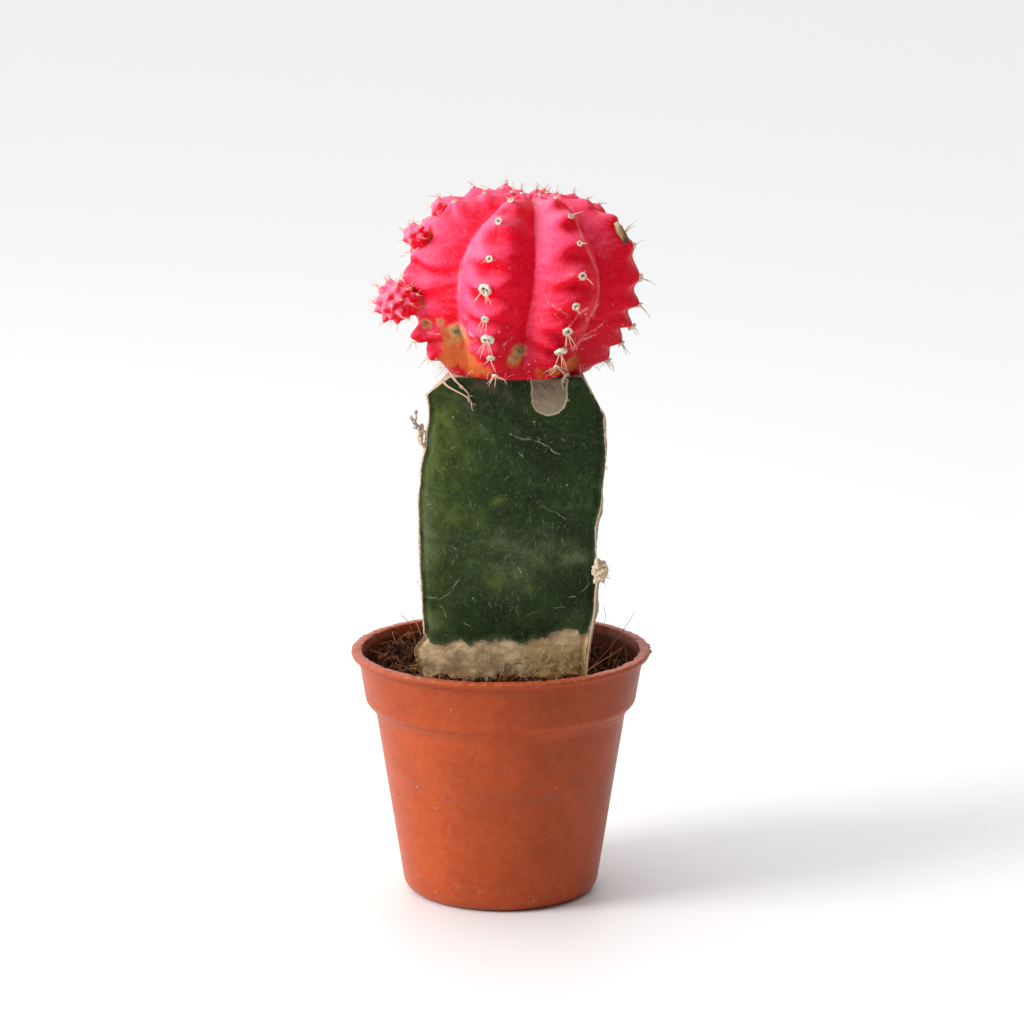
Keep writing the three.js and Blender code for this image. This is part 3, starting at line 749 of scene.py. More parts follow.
def pot_outline():
    """The pot's section from the middle of its underside, round the lip, to the middle of its floor."""
    foot_edge = FOOT_RADIUS - FOOT_ROUNDING + 0.15
    under_lip = POT_TOP - LIP_THICKNESS
    outline = [(0, RECESS_DEPTH), (RECESS_RADIUS - 0.8, RECESS_DEPTH)]
    outline += [(RECESS_RADIUS, 0.15), (RECESS_RADIUS + 0.3, 0)]
    outline += arc((foot_edge, FOOT_ROUNDING), FOOT_ROUNDING, -90, -9, 8)
    outline += [(STEP_RADIUS - 0.08, STEP_HEIGHT - 0.4), (STEP_RADIUS + 0.2, STEP_HEIGHT - 0.12)]
    outline += [(STEP_RADIUS + 0.36, STEP_HEIGHT + 0.1), (STEP_RADIUS + 0.42, STEP_HEIGHT + 0.32)]
    outline += arc((BAND_BOTTOM_RADIUS - 2.1, BAND_BOTTOM), 2.1, -66, 0, 10)
    outline += [(BAND_TOP_RADIUS - 0.02, under_lip - 0.5), (BAND_TOP_RADIUS + 0.1, under_lip - 0.28)]
    outline += [(LIP_RADIUS - 0.4, under_lip - 0.05), (LIP_RADIUS - 0.15, under_lip + 0.05)]
    outline += arc((LIP_RADIUS - 0.45, POT_TOP - 0.5), 0.45, -20, 80, 6)
    outline += arc((MOUTH_RADIUS + 0.4, POT_TOP - 0.4), 0.4, 95, 180, 5)
    return outline + pot_inside()[::-1] + [(0, FLOOR_TOP)]


def pot_plastic(look):
    """Satin terracotta plastic with faint clouds, rubbed grey marks, dust specks and fine scratches."""
    finish = Finish("Terracotta plastic")
    clouds = finish.noise(9, 5, 0.65)
    fine = finish.noise(0.6, 3, 0.6)
    colour = finish.clouded(look.plastic, clouds, 0.35, 0.7, 0.86, 1.06)
    colour = finish.tint(colour, fine, 0.22, shaded(look.plastic, 0.6))
    hazy = finish.band(finish.noise(1.4, 5, 0.75), 0.35, 0.75)
    colour = finish.tint(colour, hazy, 0.045, look.dust)
    # Grey rubbed marks lie in a belt round the middle of the body.
    height = finish.height()
    belt = finish.times(finish.band(height, 20, 22.5), finish.band(height, 26.5, 24))
    smear = finish.noise(1.6, 5, 0.75, finish.stretched(0.3, 0.3, 1.2))
    rubbed = finish.times(belt, finish.band(smear, 0.5, 0.68))
    colour = finish.tint(colour, rubbed, 0.5, srgb(126, 88, 76))
    # Pale dust lies on the lip, under the band and near the foot.
    dusty = finish.band(finish.noise(3.5, 5, 0.7), 0.56, 0.8)
    near_foot = finish.band(height, 9, 0)
    near_lip = finish.band(height, POT_TOP - 1.6, POT_TOP - 0.2)
    film = finish.times(dusty, finish.math("MAXIMUM", near_foot, near_lip))
    colour = finish.tint(colour, film, 0.45, look.dust)
    specks = finish.specks(3.6, 0.12)
    dots = finish.specks(1.3, 0.07)
    marks = finish.math("MAXIMUM", specks, finish.times(dots, 0.5))
    colour = finish.tint(colour, marks, 0.4, look.dust)
    pits = finish.specks(4.4, 0.14)
    colour = finish.tint(colour, pits, 0.5, shaded(look.plastic, 0.3))
    scratches = finish.band(finish.noise(0.45, 3, 0.6, finish.stretched(0.5, 0.5, 1.0), 2.0), 0.7, 0.76)
    colour = finish.tint(colour, scratches, 0.2, look.dust)
    top_edge = finish.band(height, POT_TOP - 0.7, POT_TOP)
    worn = finish.times(top_edge, finish.band(finish.noise(0.5, 4, 0.7), 0.4, 0.7))
    colour = finish.tint(colour, worn, 0.42, srgb(222, 150, 116))
    # Painted shade: the band under the lip is darkened.
    band_shade = finish.band(height, BAND_BOTTOM - 3, BAND_BOTTOM + 2, 0.0, 0.15)
    colour = finish.mix(band_shade, colour, shaded(look.plastic, 0.45))
    # Painted shade: the inside below the rim is darkened in blotches.
    inside_shade = finish.times(finish.mark("inside"), finish.band(finish.noise(2.4, 5, 0.7), 0.25, 0.6, 0.4, 0.85))
    colour = finish.mix(inside_shade, colour, srgb(84, 38, 24))
    rough = finish.math("MULTIPLY_ADD", finish.noise(5, 4, 0.65), 0.2, 0.3)
    rough = finish.math("MULTIPLY_ADD", film, 0.3, rough)
    relief = finish.bump(finish.noise(0.35, 3, 0.6), 0.02)
    relief = finish.bump(finish.math("SUBTRACT", marks, pits), 0.03, relief)
    relief = finish.bump(finish.noise(7, 2), 0.05, relief)
    finish.set(Base_Color=colour, Roughness=rough, Normal=relief)
    finish.set(Subsurface_Weight=0.08, Subsurface_Scale=0.0012, Subsurface_Radius=(1.0, 0.4, 0.2))
    finish.set(Specular_IOR_Level=0.2)
    return finish.material


def build_pot(look):
    outline = np.array(filled(pot_outline(), 0.9))
    radius, height = outline[1:-1].T
    angles = angles_round(POT_SIDES)
    circle = np.stack([np.cos(angles), np.sin(angles), np.zeros(POT_SIDES)], axis=-1)
    rings = circle[None] * radius[:, None, None] + np.array((0, 0, 1)) * height[:, None, None]
    points = rings.reshape(-1, 3)
    # Ragged flash where the mould closed, along the lip, and a wall that isn't quite even.
    lip = band(points[:, 2], POT_TOP - 1.0, POT_TOP - 0.1)
    flash = look.lip_flash / MM
    points[:, 2] += lip * flash * np.minimum(noise(points, 1.1, 3, 3), 0.15)
    burrs = 2.6 * band(noise(points, 1.3, 6, 2), 0.5, 0.95) * (points[:, 2] < POT_TOP - 0.3)
    points[:, :2] *= 1 + (lip * flash * (noise(points, 0.8, 5, 2) + burrs) / LIP_RADIUS)[:, None]
    points[:, :2] *= 1 + 0.0012 * noise(points, 16, 8)[:, None]
    # Where painted shade darkens the inside, below the rim.
    inside = (np.arange(len(radius)) > np.argmax(height)) * band(height, POT_TOP - 0.5, POT_TOP - 2.0)
    marks = {"inside": [*np.repeat(inside, POT_SIDES), 0, 1]}
    count = len(points)
    points = np.vstack([points, (0, 0, RECESS_DEPTH), (0, 0, FLOOR_TOP)])
    faces = ring_faces(len(radius), POT_SIDES)
    faces += fan_faces(count, 0, POT_SIDES, turned=True)
    faces += fan_faces(count + 1, count - POT_SIDES, POT_SIDES)
    pot = make_object("Pot_Moulding", points, faces, pot_plastic(look), marks)
    for i in range(DRAINS):
        turn = 2 * math.pi * (i + 0.5) / DRAINS
        centre = DRAIN_CIRCLE * np.array((math.cos(turn), math.sin(turn), 0))
        circle = np.array([(math.cos(a), math.sin(a), 0) for a in angles_round(DRAIN_SIDES)])
        ring = centre + DRAIN_RADIUS * circle
        carve(pot, make_loft("bore", [ring - (0, 0, 2), ring + (0, 0, 6)]))
    return finish_piece(pot, "pot")


# ---------- Rootstock ----------

FACE_COLUMNS = (124, 72, 72)
CAP_COLUMNS = 10


def bevel_reach(bevel, edge, height):
    """How far a bevel cuts in from a rib's edge at a height."""
    (inner, top), (outer, run_out) = bevel
    cut = inner + (outer - inner) * (top - height) / (top - run_out)
    return np.abs(edge - cut) * (np.sign(edge - cut) == np.sign(outer - inner))


def stock_section(height, grow=0.0):
    """The stem's outline at a height: points, how far each lies from a rib's edge, and its side."""
    left = np.array((along(LEFT_RIB, height), FRONT_FACE))
    right = np.array((along(RIGHT_RIB, height), FRONT_FACE))
    tips = [left, right, np.array(BACK_RIB)]
    runs = [unit(tips[(i + 1) % 3] - tips[i]) for i in range(3)]
    outs = [np.array((run[1], -run[0])) for run in runs]
    ribs = [
        tip + (outs[i] + outs[i - 1]) * grow / (1 + outs[i] @ outs[i - 1]) for i, tip in enumerate(tips)
    ]
    reaches = [
        bevel_reach(LEFT_BEVEL, left[0], height),
        bevel_reach(RIGHT_BEVEL, right[0], height),
        bevel_reach(BACK_BEVEL, BACK_RIB[1], height),
    ]
    points, keel, kind = [], [], []
    spans = []
    for i in range(3):
        axis = 1 if i == 2 else 0
        after = max(CORNER, float(reaches[i]) / abs(runs[i][axis]))
        before = max(CORNER, float(reaches[i]) / abs(runs[i - 1][axis]))
        spans.append((before, after))
    for i in range(3):
        before, after = spans[i]
        start = ribs[i] - runs[i - 1] * before
        end = ribs[i] + runs[i] * after
        flat = smooth((before - CORNER) / 0.8)
        corner = ribs[i] * 0.55 + (start + end) * 0.225
        for step in range(CAP_COLUMNS):
            share = (step + 0.5) / CAP_COLUMNS
            straight = start + (end - start) * share
            bent = start * (1 - share) ** 2 + corner * 2 * share * (1 - share) + end * share**2
            points.append(bent + (straight - bent) * flat)
            keel.append(-min(share, 1 - share) * np.linalg.norm(end - start) - 0.01)
            kind.append(3 + i)
        length = np.linalg.norm(ribs[(i + 1) % 3] - ribs[i])
        last = length - spans[(i + 1) % 3][0]
        # The columns stand a little closer together in the middle of a face.
        shares = np.linspace(0, 1, FACE_COLUMNS[i])
        shares = shares + 0.12 * np.sin(2 * np.pi * shares) / (2 * np.pi)
        wave = 1 + 0.18 * math.sin(height * 0.11 + i * 2)
        for share in shares:
            reach = after + (last - after) * share
            bulge = FACE_BULGE[i] * math.sin(math.pi * reach / length) * wave
            near = min(reach, length - reach)
            dip = KEEL_DIP * math.exp(-(((near - 1.1) / 0.45) ** 2))
            soften = min(1.0, near / 1.1)
            points.append(ribs[i] + runs[i] * reach + outs[i] * (bulge * soften - dip))
            keel.append(min(reach - after, last - reach))
            kind.append(i)
    return np.array(points), np.array(keel), np.array(kind)


def scar_distance(x, z):
    """How far a place on the broad face lies outside the pale U-shaped scar. It is negative inside."""
    half = (SCAR["right"] - SCAR["left"]) / 2
    middle = (SCAR["right"] + SCAR["left"]) / 2
    rounding = SCAR["rounding"]
    half = half - SCAR["taper"] * (GRAFT - z)
    sideways = np.maximum(np.abs(x - middle) - np.maximum(half - rounding, 0.2), 0)
    downward = np.maximum(SCAR["bottom"] + rounding - z, 0)
    return np.hypot(sideways, downward) - rounding


def soft_patches(x, z, stains):
    """How deep places lie in soft patches of stain and painted light, 0 to 1."""
    total = np.zeros(len(x))
    for at_x, at_z, wide, tall, strength in stains:
        total += strength * np.exp(-(((x - at_x) / wide) ** 2) - ((z - at_z) / tall) ** 2)
    return total


def line_distance(x, z, lines):
    """The distance from places to the nearest of some lines."""
    nearest = np.full(len(x), np.inf)
    for line in lines:
        for (x0, z0), (x1, z1) in zip(line, line[1:]):
            share = ((x - x0) * (x1 - x0) + (z - z0) * (z1 - z0)) / ((x1 - x0) ** 2 + (z1 - z0) ** 2)
            share = np.clip(share, 0, 1)
            nearest = np.minimum(nearest, np.hypot(x - x0 - share * (x1 - x0), z - z0 - share * (z1 - z0)))
    return nearest


# Which of the stem's sections lies at the soil's surface.
SOIL_SECTION = 20


def stock_heights():
    buried = np.linspace(STOCK_FOOT, 39.0, 8)[:-1]
    foot = np.linspace(39.0, 53.0, 62)[:-1]
    stem = np.linspace(53.0, 89.0, 92)[:-1]
    top = np.linspace(89.0, GRAFT, 34)
    return np.concatenate([buried, foot, stem, top])


def rootstock_skin(look):
    """Waxy green skin, corky ribs and cuts, a pale scar and a peeled, dried foot."""
    finish = Finish("Rootstock skin")
    edge = finish.mark("edge_mm")
    foot = finish.mark("foot_mm")
    scar = finish.mark("scar_mm")
    cut = finish.mark("cut")
    clouds = finish.noise(8, 4, 0.65)
    blotches = finish.noise(2.2, 6, 0.75)
    fine = finish.noise(0.5, 6, 0.85)
    green = finish.clouded(look.skin, clouds, 0.35, 0.65, 0.6, 1.25)
    # Yellow stains, and painted light in a yellow-green strip along the left rib.
    green = finish.tint(green, finish.mark("yellowing"), finish.band(blotches, 0.25, 0.6), srgb(96, 112, 42))
    # Waxy bloom lies in clouds, in grains and in hairline rubs, and a painted sheen lies along the left rib.
    veil = finish.times(finish.band(blotches, 0.45, 0.75), finish.band(finish.noise(13, 3, 0.5), 0.3, 0.7))
    grainy = finish.band(fine, 0.2, 0.7)
    veil = finish.math("MULTIPLY_ADD", finish.mark("greying"), grainy, finish.times(veil, 0.4))
    green = finish.mix(finish.math("MINIMUM", veil, 0.8), green, look.bloom)
    green = finish.tint(green, finish.band(fine, 0.5, 0.7), 0.34, look.bloom)
    green = finish.tint(green, finish.band(fine, 0.46, 0.3), 0.5, shaded(look.skin, 0.45))
    rub = finish.noise(0.9, 4, 0.7, finish.stretched(1.0, 1.0, 0.35), 2.5)
    green = finish.tint(green, finish.band(rub, 0.6, 0.68), 0.42, srgb(120, 132, 108))
    green = finish.tint(green, finish.specks(3.4, 0.13), 0.8, srgb(176, 176, 150))
    green = finish.tint(green, finish.specks(1.1, 0.1), 0.45, srgb(150, 156, 130))
    green = finish.tint(green, finish.specks(2.7, 0.16), 0.5, shaded(look.skin, 0.3))
    pale = finish.times(finish.strokes(GRAZES, 0.24, FRONT_FACE), finish.band(fine, 0.3, 0.55))
    green = finish.tint(green, pale, 0.42, srgb(186, 184, 160))
    faint = finish.times(finish.strokes(FAINT_GRAZES, 0.24, FRONT_FACE), finish.band(fine, 0.35, 0.6))
    green = finish.tint(green, faint, 0.45, srgb(140, 146, 122))
    # Under the graft the skin has dried brown.
    green = finish.mix(finish.mark("browning"), green, srgb(84, 74, 56))
    # Dried cork follows the ribs.
    margin = finish.band(finish.frayed(edge, 1.1, 0.7, 4, 0.6), 0.14, 0.0)
    cork_grain = finish.noise(0.5, 4, 0.7)
    cork = finish.clouded(look.cork, cork_grain, 0.35, 0.7, 0.55, 1.1)
    colour = finish.mix(margin, green, cork)
    # The scar has a lighter, sharper rim.
    scar_edge = finish.frayed(scar, 1.2, 0.5, 3, 0.6)
    scar_grain = finish.band(finish.noise(1.1, 6, 0.8), 0.35, 0.7)
    scar_skin = finish.mix(scar_grain, srgb(86, 74, 58), srgb(140, 124, 100))
    # Painted shadow: the scar is darker up under the head, and lighter lower down.
    clear_of_head_shadow = finish.times(finish.band(finish.height(), GRAFT, GRAFT - 6), 0.55)
    scar_skin = finish.mix(clear_of_head_shadow, scar_skin, srgb(158, 144, 120))
    scar_skin = finish.tint(scar_skin, finish.specks(0.8, 0.12), 0.6, srgb(74, 62, 50))
    colour = finish.mix(finish.band(scar_edge, 0.06, -0.06), colour, scar_skin)
    rim = finish.times(finish.band(scar_edge, 0.16, 0.02), finish.band(scar_edge, -0.34, -0.12))
    colour = finish.tint(colour, rim, 0.8, srgb(176, 162, 136))
    # Below the torn edge of the skin the foot is bare, dry and faintly fibrous, with soil stains.
    streaks = finish.noise(1.5, 6, 0.65, finish.stretched(0.55, 0.55, 0.9), 0.8)
    bare = finish.clouded(look.bare_foot, streaks, 0.38, 0.62, 0.72, 1.16)
    bare = finish.tint(bare, finish.mark("waxen"), 0.5, srgb(192, 162, 86))
    stains = finish.band(finish.noise(3.4, 6, 0.75), 0.48, 0.66)
    bare = finish.tint(bare, stains, 0.55, srgb(150, 116, 76))
    soiled = finish.times(finish.band(foot, -2.0, -7.5), finish.band(finish.noise(1.3, 4, 0.7), 0.35, 0.6))
    bare = finish.tint(bare, soiled, 0.8, srgb(92, 62, 38))
    torn = finish.frayed(foot, 0.7, 0.5, 4, 0.6)
    fading = finish.band(torn, 1.4, 0.0)
    colour = finish.tint(colour, fading, 0.35, srgb(106, 112, 78))
    colour = finish.mix(finish.band(torn, 0.06, -0.12), colour, bare)
    lip = finish.times(finish.band(torn, 0.26, 0.04), finish.band(torn, -0.3, 0.0))
    colour = finish.tint(colour, lip, 0.55, srgb(206, 196, 160))
    colour = finish.mix(cut, colour, cork)
    dry = finish.math("MAXIMUM", finish.math("MAXIMUM", margin, cut), finish.band(torn, 0.05, -0.1))
    rough = finish.math("MULTIPLY_ADD", blotches, 0.25, 0.33)
    rough = finish.math("MULTIPLY_ADD", dry, 0.3, rough)
    relief = finish.bump(finish.noise(0.3, 3, 0.6), 0.02)
    relief = finish.bump(blotches, 0.12, relief)
    corky = finish.math("MULTIPLY_ADD", finish.math("MAXIMUM", margin, cut), 0.9, 0.1)
    relief = finish.bump(finish.times(corky, cork_grain), 0.3, relief)
    finish.set(Base_Color=colour, Roughness=rough, Normal=relief, Specular_IOR_Level=0.15)
    return finish.material


def build_rootstock(look):
    heights = stock_heights()
    sections = [stock_section(z) for z in heights]
    columns = len(sections[0][0])
    flat = np.concatenate([section[0] for section in sections])
    edge = np.concatenate([section[1] for section in sections])
    kind = np.concatenate([section[2] for section in sections])
    z = np.repeat(heights, columns)
    points = np.column_stack([flat, z])
    x = points[:, 0]
    front = kind == 0
    torn = along(SKIN_EDGE, x) + 0.35 * noise(points, 1.2, 40, 3)
    torn = np.where(points[:, 1] > -6, 49.6 + 1.1 * noise(points, 4.0, 41, 3), torn)
    foot = z - torn
    scar = np.where(front, scar_distance(x, z) + 0.12 * noise(points, 1.5, 42, 2), FAR)
    # The outward way at each point, level with the floor.
    grid = points.reshape(len(heights), columns, 3)
    tangent = np.roll(grid, -1, axis=1) - np.roll(grid, 1, axis=1)
    sideways = np.stack([tangent[..., 1], -tangent[..., 0], np.zeros(tangent.shape[:2])], -1)
    outward = unit(sideways).reshape(-1, 3)
    above_soil = band(z, 40, 44)
    swell = 0.22 * noise(points, 9, 50, 2) + 0.05 * noise(points, 1.8, 51, 2)
    step = -0.25 * band(foot, 0.1, -0.25) * band(foot, -14, -5)
    puckers = 0.09 * noise(points * (0.5, 1, 1), 2.6, 52, 2) + 0.015 * noise(points, 0.7, 55, 2)
    wrinkles = band(foot, 0.2, -0.6) * puckers
    sunken = -0.16 * band(scar, 0.15, -0.25)
    ridge = 0.12 * band(np.abs(edge), 0.6, 0.0) * (1 + noise(points, 0.8, 53, 2))
    steady = band(z, GRAFT - 0.1, GRAFT - 2.5)
    rise = above_soil * (steady * (swell + ridge) + step + wrinkles + sunken)
    points = points + outward * rise[:, None]
    points[:, 2] = np.minimum(points[:, 2], GRAFT)
    uneven = 1 + 0.6 * noise(points, 4, 54, 2) + 0.5 * noise(points, 1.5, 59, 2)
    clouds = 0.25 * band(noise(points, 11, 56, 2), 0.1, 0.9)
    # Stains, with painted light and sheen along the left rib of the broad face.
    yellowing = np.where(front, soft_patches(x, z, YELLOW_STAINS_AND_LIT_EDGE), clouds) * uneven
    clouds = 0.6 * band(noise(points, 9, 57, 2), 0.1, 0.9)
    greying = np.where(front, soft_patches(x, z, GREY_STAINS_AND_SHEEN), clouds) * uneven
    brown = 1.2 - np.hypot((x + 1.4) / 3.4, (z - GRAFT) / 3.8) + 0.7 * noise(points, 1.6, 58, 3)
    browning = 0.5 * band(brown, 0.0, 1.2)
    waxen = np.maximum(band(x, 2, 10) * front, band(x, -14.4, -16)) * band(z, 50.5, 45)
    cut = ((kind >= 3) & (edge < -0.35)).astype(float)
    marks = {"edge_mm": np.where(kind >= 3, edge - 0.1, edge), "foot_mm": foot, "scar_mm": scar}
    marks |= {"yellowing": np.clip(yellowing, 0, 1), "greying": np.clip(greying, 0, 1), "cut": cut}
    marks |= {"browning": np.where(front, browning, 0), "waxen": waxen}
    low = len(points)
    middle = points[:columns].mean(axis=0), points[-columns:].mean(axis=0)
    points = np.vstack([points, *middle])
    marks = {key: np.append(values, [1.0 if key == "cut" else FAR] * 2) for key, values in marks.items()}
    faces = ring_faces(len(heights), columns)
    faces += fan_faces(low, 0, columns, turned=True) + fan_faces(low + 1, low - columns, columns)
    stem = make_object("Rootstock_Skin", points, faces, rootstock_skin(look), marks)
    return finish_piece(stem, "rootstock")


def knot_cork(look):
    """Fuzzy, tan, dead wood."""
    finish = Finish("Knotty cork")
    grain = finish.noise(0.45, 5, 0.75)
    colour = finish.clouded(look.cork, grain, 0.3, 0.72, 0.6, 1.5)
    colour = finish.mix(finish.band(finish.noise(1.6, 3), 0.58, 0.78), colour, srgb(132, 94, 62))
    finish.set(Base_Color=colour, Roughness=0.85, Normal=finish.bump(grain, 0.3))
    return finish.material


def strand_finish(name, pale, dark, tip):
    """Strands whose colour runs from pale to dark by their tint, with tips of their own colour."""
    finish = Finish(name)
    colour = finish.mix(finish.mark("tint"), pale, dark)
    colour = finish.mix(finish.band(finish.mark("strand_share"), 0.72, 1.0), colour, tip)
    colour = finish.tint(colour, finish.noise(0.5, 2), 0.4, shaded(dark, 0.8))
    finish.set(Base_Color=colour, Roughness=0.6, Specular_IOR_Level=0.2)
    return finish.material


KNOTS = (
    {"at": (-14.0, -9.2, 87.0), "size": 1.15, "lumps": 10, "tall": 3.0},
    {"at": (-14.9, -9.2, 60.0), "size": 0.4, "lumps": 3, "tall": 0.6},
    {"at": (17.7, -9.2, 61.9), "size": 2.1, "lumps": 18, "tall": 2.5},
    {"at": (18.9, -9.3, 80.9), "size": 0.45, "lumps": 3, "tall": 0.5},
    {"at": (1.5, 18.6, 76.0), "size": 1.3, "lumps": 8, "tall": 1.9},
    {"at": (1.5, 18.6, 55.0), "size": 1.5, "lumps": 9, "tall": 2.2},
)
KNOT_VOXEL = 0.13


def ball(radius, detail):
    """An even ball's points and faces."""
    mesh = bmesh.new()
    bmesh.ops.create_icosphere(mesh, subdivisions=detail, radius=radius)
    points = np.array([v.co for v in mesh.verts])
    faces = [[v.index for v in face.verts] for face in mesh.faces]
    mesh.free()
    return points, faces


def stem_outward(at):
    """The level way from the stem's middle to a place on its ribs."""
    return unit(np.array((at[0] - 1.5, at[1] - 3, 0.0)))


def lump_pile(random, at, size, lumps, tall):
    """Balls pressed into one another, as points and faces."""
    out = stem_outward(at)
    side = np.array((-out[1], out[0], 0.0))
    forms = []
    for i in range(lumps):
        end = abs(2 * i / max(lumps - 1, 1) - 1)
        form, faces = ball(size * random.uniform(0.34, 0.62) * (1 - 0.45 * end), 3)
        up = (i / max(lumps - 1, 1) - 0.5) * tall * 1.4
        reach, spread = random.uniform(-0.25, 0.55), random.uniform(-0.5, 0.5)
        centre = np.array(at) + (out * reach + side * spread) * size * (1 - 0.6 * end)
        form = form * random.uniform((0.8, 0.8, 0.9), (1.1, 1.1, 1.5)) + centre + (0, 0, up)
        forms.append((form, faces))
    return merged(forms)


def build_knots(look):
    """Dry areoles on the rootstock's ribs: piles of woody lumps fused into rough knots."""
    random = np.random.default_rng(17)
    knots = make_object("Rootstock_Knots", *merged([lump_pile(random, **knot) for knot in KNOTS]))
    remesh = knots.modifiers.new("Fuse", "REMESH")
    remesh.mode, remesh.voxel_size = "VOXEL", KNOT_VOXEL * MM
    baked(knots)
    placed = points_of(knots)
    placed += points_of(knots, "normal") * (0.3 * noise(placed, 0.75, 61, 3))[:, None]
    knots.data.vertices.foreach_set("co", (placed * MM).ravel())
    knots.data.polygons.foreach_set("use_smooth", np.ones(len(knots.data.polygons), bool))
    knots.data.materials.clear()
    knots.data.materials.append(knot_cork(look))
    return finish_piece(knots, "rootstock")


TWIGS = (
    # The forked stub of an old shoot on the left rib, with beads at its tips.
    ((-14.0, -9.4, 88.0), (-14.6, -9.5, 88.6), (-15.3, -9.7, 89.4), (-15.0, -9.8, 90.4),
     (-15.2, -9.9, 91.4)),
    ((-14.8, -9.6, 88.8), (-15.6, -9.8, 89.2), (-15.9, -10.0, 90.2)),
    ((-13.8, -9.5, 89.0), (-14.6, -9.7, 88.8), (-15.2, -9.8, 88.6)),
    # A dead root runs down the right rib from its knot.
    ((17.6, -9.8, 60.4), (17.3, -10.0, 58.2), (17.2, -10.0, 55.6), (16.9, -10.0, 52.8), (16.3, -10.0, 49.6),
     (15.9, -10.1, 46.2), (15.6, -10.2, 42.6)),
    # Old shoots at the back.
    ((1.5, 18.8, 77.0), (1.7, 20.0, 78.6), (1.4, 20.6, 80.2), (2.0, 21.0, 80.9)),
)
DEAD_ROOT = TWIGS[3]
SKIN_THREADS = 26
STRAPS = (
    # Dried rootlets that hang from the graft on to the broad face.
    ((-9.0, -10.2, 98.6), (-8.3, -10.6, 97.4), (-7.3, -10.3, 96.4), (-6.4, -10.3, 95.5),
     (-5.8, -10.4, 94.9)),
    ((-10.4, -9.9, 97.2), (-9.8, -10.0, 96.3), (-8.6, -10.2, 95.6), (-7.0, -10.3, 94.8), (-5.9, -10.3, 94.1),
     (-5.2, -10.4, 93.1)),
    ((11.9, -10.8, 98.6), (11.0, -10.5, 97.4), (10.9, -10.2, 96.4)),
)


def eased(path, steps=22):
    """A line through the points of a path, with its corners rounded."""
    path = np.asarray(path, float)
    for _ in range(3):
        start, end = path[:-1], path[1:]
        cut = np.stack([start * 0.75 + end * 0.25, start * 0.25 + end * 0.75], axis=1).reshape(-1, 3)
        path = np.vstack([path[:1], cut, path[-1:]])
    travel = np.concatenate([[0], np.cumsum(np.linalg.norm(np.diff(path, axis=0), axis=1))])
    places = np.linspace(0, travel[-1], steps)
    return np.column_stack([np.interp(places, travel, path[:, axis]) for axis in range(3)])


def build_rootstock_strands(look):
    """Twigs, dried rootlets, and the fuzz round the knots and along the torn skin."""
    strands = Strands(23)
    random = strands.random
    for path in TWIGS:
        thick = 0.36 if path is DEAD_ROOT else 0.22
        strands.line(eased(path), thick, thick * 0.6, random.uniform(0.2, 0.6))
        for _ in range(0 if path is DEAD_ROOT else 6):
            bead = np.array(path[-1]) + random.normal(scale=0.16, size=3)
            strands.line([bead + (0, 0, up) for up in (-0.16, -0.05, 0.05, 0.16)], 0.2, 0.14)
    for path in STRAPS:
        strands.line(eased(path), 0.22, 0.1, random.uniform(0.0, 0.25))
        strands.line(eased(np.array(path) + (0.25, -0.1, -0.1)), 0.14, 0.05, random.uniform(0.0, 0.4))
        for _ in range(5):
            start = np.array(path[-1 - int(random.integers(3))]) + random.normal(scale=0.1, size=3)
            way = (random.uniform(0, 1), -0.1, -0.8)
            branch = strands.curved(start, way, random.uniform(0.6, 1.6), 0, 0.9, 6)
            strands.line(branch, 0.09, 0.04, random.uniform(0, 0.3))
    for knot in KNOTS:
        at = np.array(knot["at"])
        out = stem_outward(at)
        for _ in range(int(12 * (knot["size"] - 0.5))):
            way = unit(out + random.normal(scale=0.7, size=3))
            start = at + way * knot["size"] * 0.6 + (0, 0, random.uniform(-0.5, 0.5) * knot["tall"])
            path = strands.curved(start, way, random.uniform(0.6, 1.6), curl=0.8, steps=5)
            strands.line(path, 0.07, 0.02, random.uniform(0, 1))
    for _ in range(SKIN_THREADS):
        x = random.uniform(-15, 15.5)
        z = float(along(SKIN_EDGE, x)) - random.uniform(0.2, 5.5)
        way = (random.normal(scale=0.8), -0.25, -1.0)
        path = strands.curved((x, FRONT_FACE - 0.75, z), way, random.uniform(0.8, 3.2), curl=0.5, steps=6)
        strands.line(path, 0.05, 0.03, random.uniform(0, 0.3))
    finish = strand_finish("Dead twigs", shaded(look.cork, 1.15), srgb(120, 86, 56), srgb(186, 158, 122))
    piece = strands.finished("Rootstock_Twigs", finish)
    return finish_piece(piece, "rootstock")


# ---------- Soil ----------


def soil_relief(x, y):
    """How far the soil lies above or below its level."""
    waves = np.sin(0.52 * x + 1.3) * np.cos(0.47 * y - 0.6)
    waves = waves + 0.6 * np.sin(1.13 * x - 0.9 * y + 2.1) + 0.45 * np.cos(1.9 * x + 1.6 * y + 0.4)
    heap = 4.4 * np.exp(-((x + 15) ** 2 + (y - 6) ** 2) / 40)
    return SOIL_ROUGHNESS * waves + heap + 0.95 * smooth((-y - 8) / 5)


def peat(look):
    """Damp dark peat with lighter crumbs."""
    finish = Finish("Peat")
    crumbs = finish.noise(0.8, 5, 0.75)
    colour = finish.clouded(look.peat, crumbs, 0.35, 0.7, 0.4, 1.5)
    colour = finish.mix(finish.band(finish.noise(2.6, 3), 0.5, 0.7), colour, srgb(122, 62, 30))
    colour = finish.tint(colour, finish.specks(1.3, 0.2), 0.5, srgb(150, 100, 62))
    finish.set(Base_Color=colour, Roughness=0.9, Normal=finish.bump(finish.noise(0.35, 4, 0.7), 0.25))
    finish.set(Specular_IOR_Level=0.15)
    return finish.material


def stem_distance(x, y, height):
    """The distance from places on the soil to the stem's outline there."""
    outline = stock_section(height)[0][::3]
    return np.sqrt(((np.column_stack([x, y])[:, None] - outline[None]) ** 2).sum(-1)).min(1)


def soil_rim(height):
    """The soil's outer radius at a height, inside the pot's wall."""
    radius, level = np.array(pot_inside()).T
    return np.interp(height, level, radius) - GAP


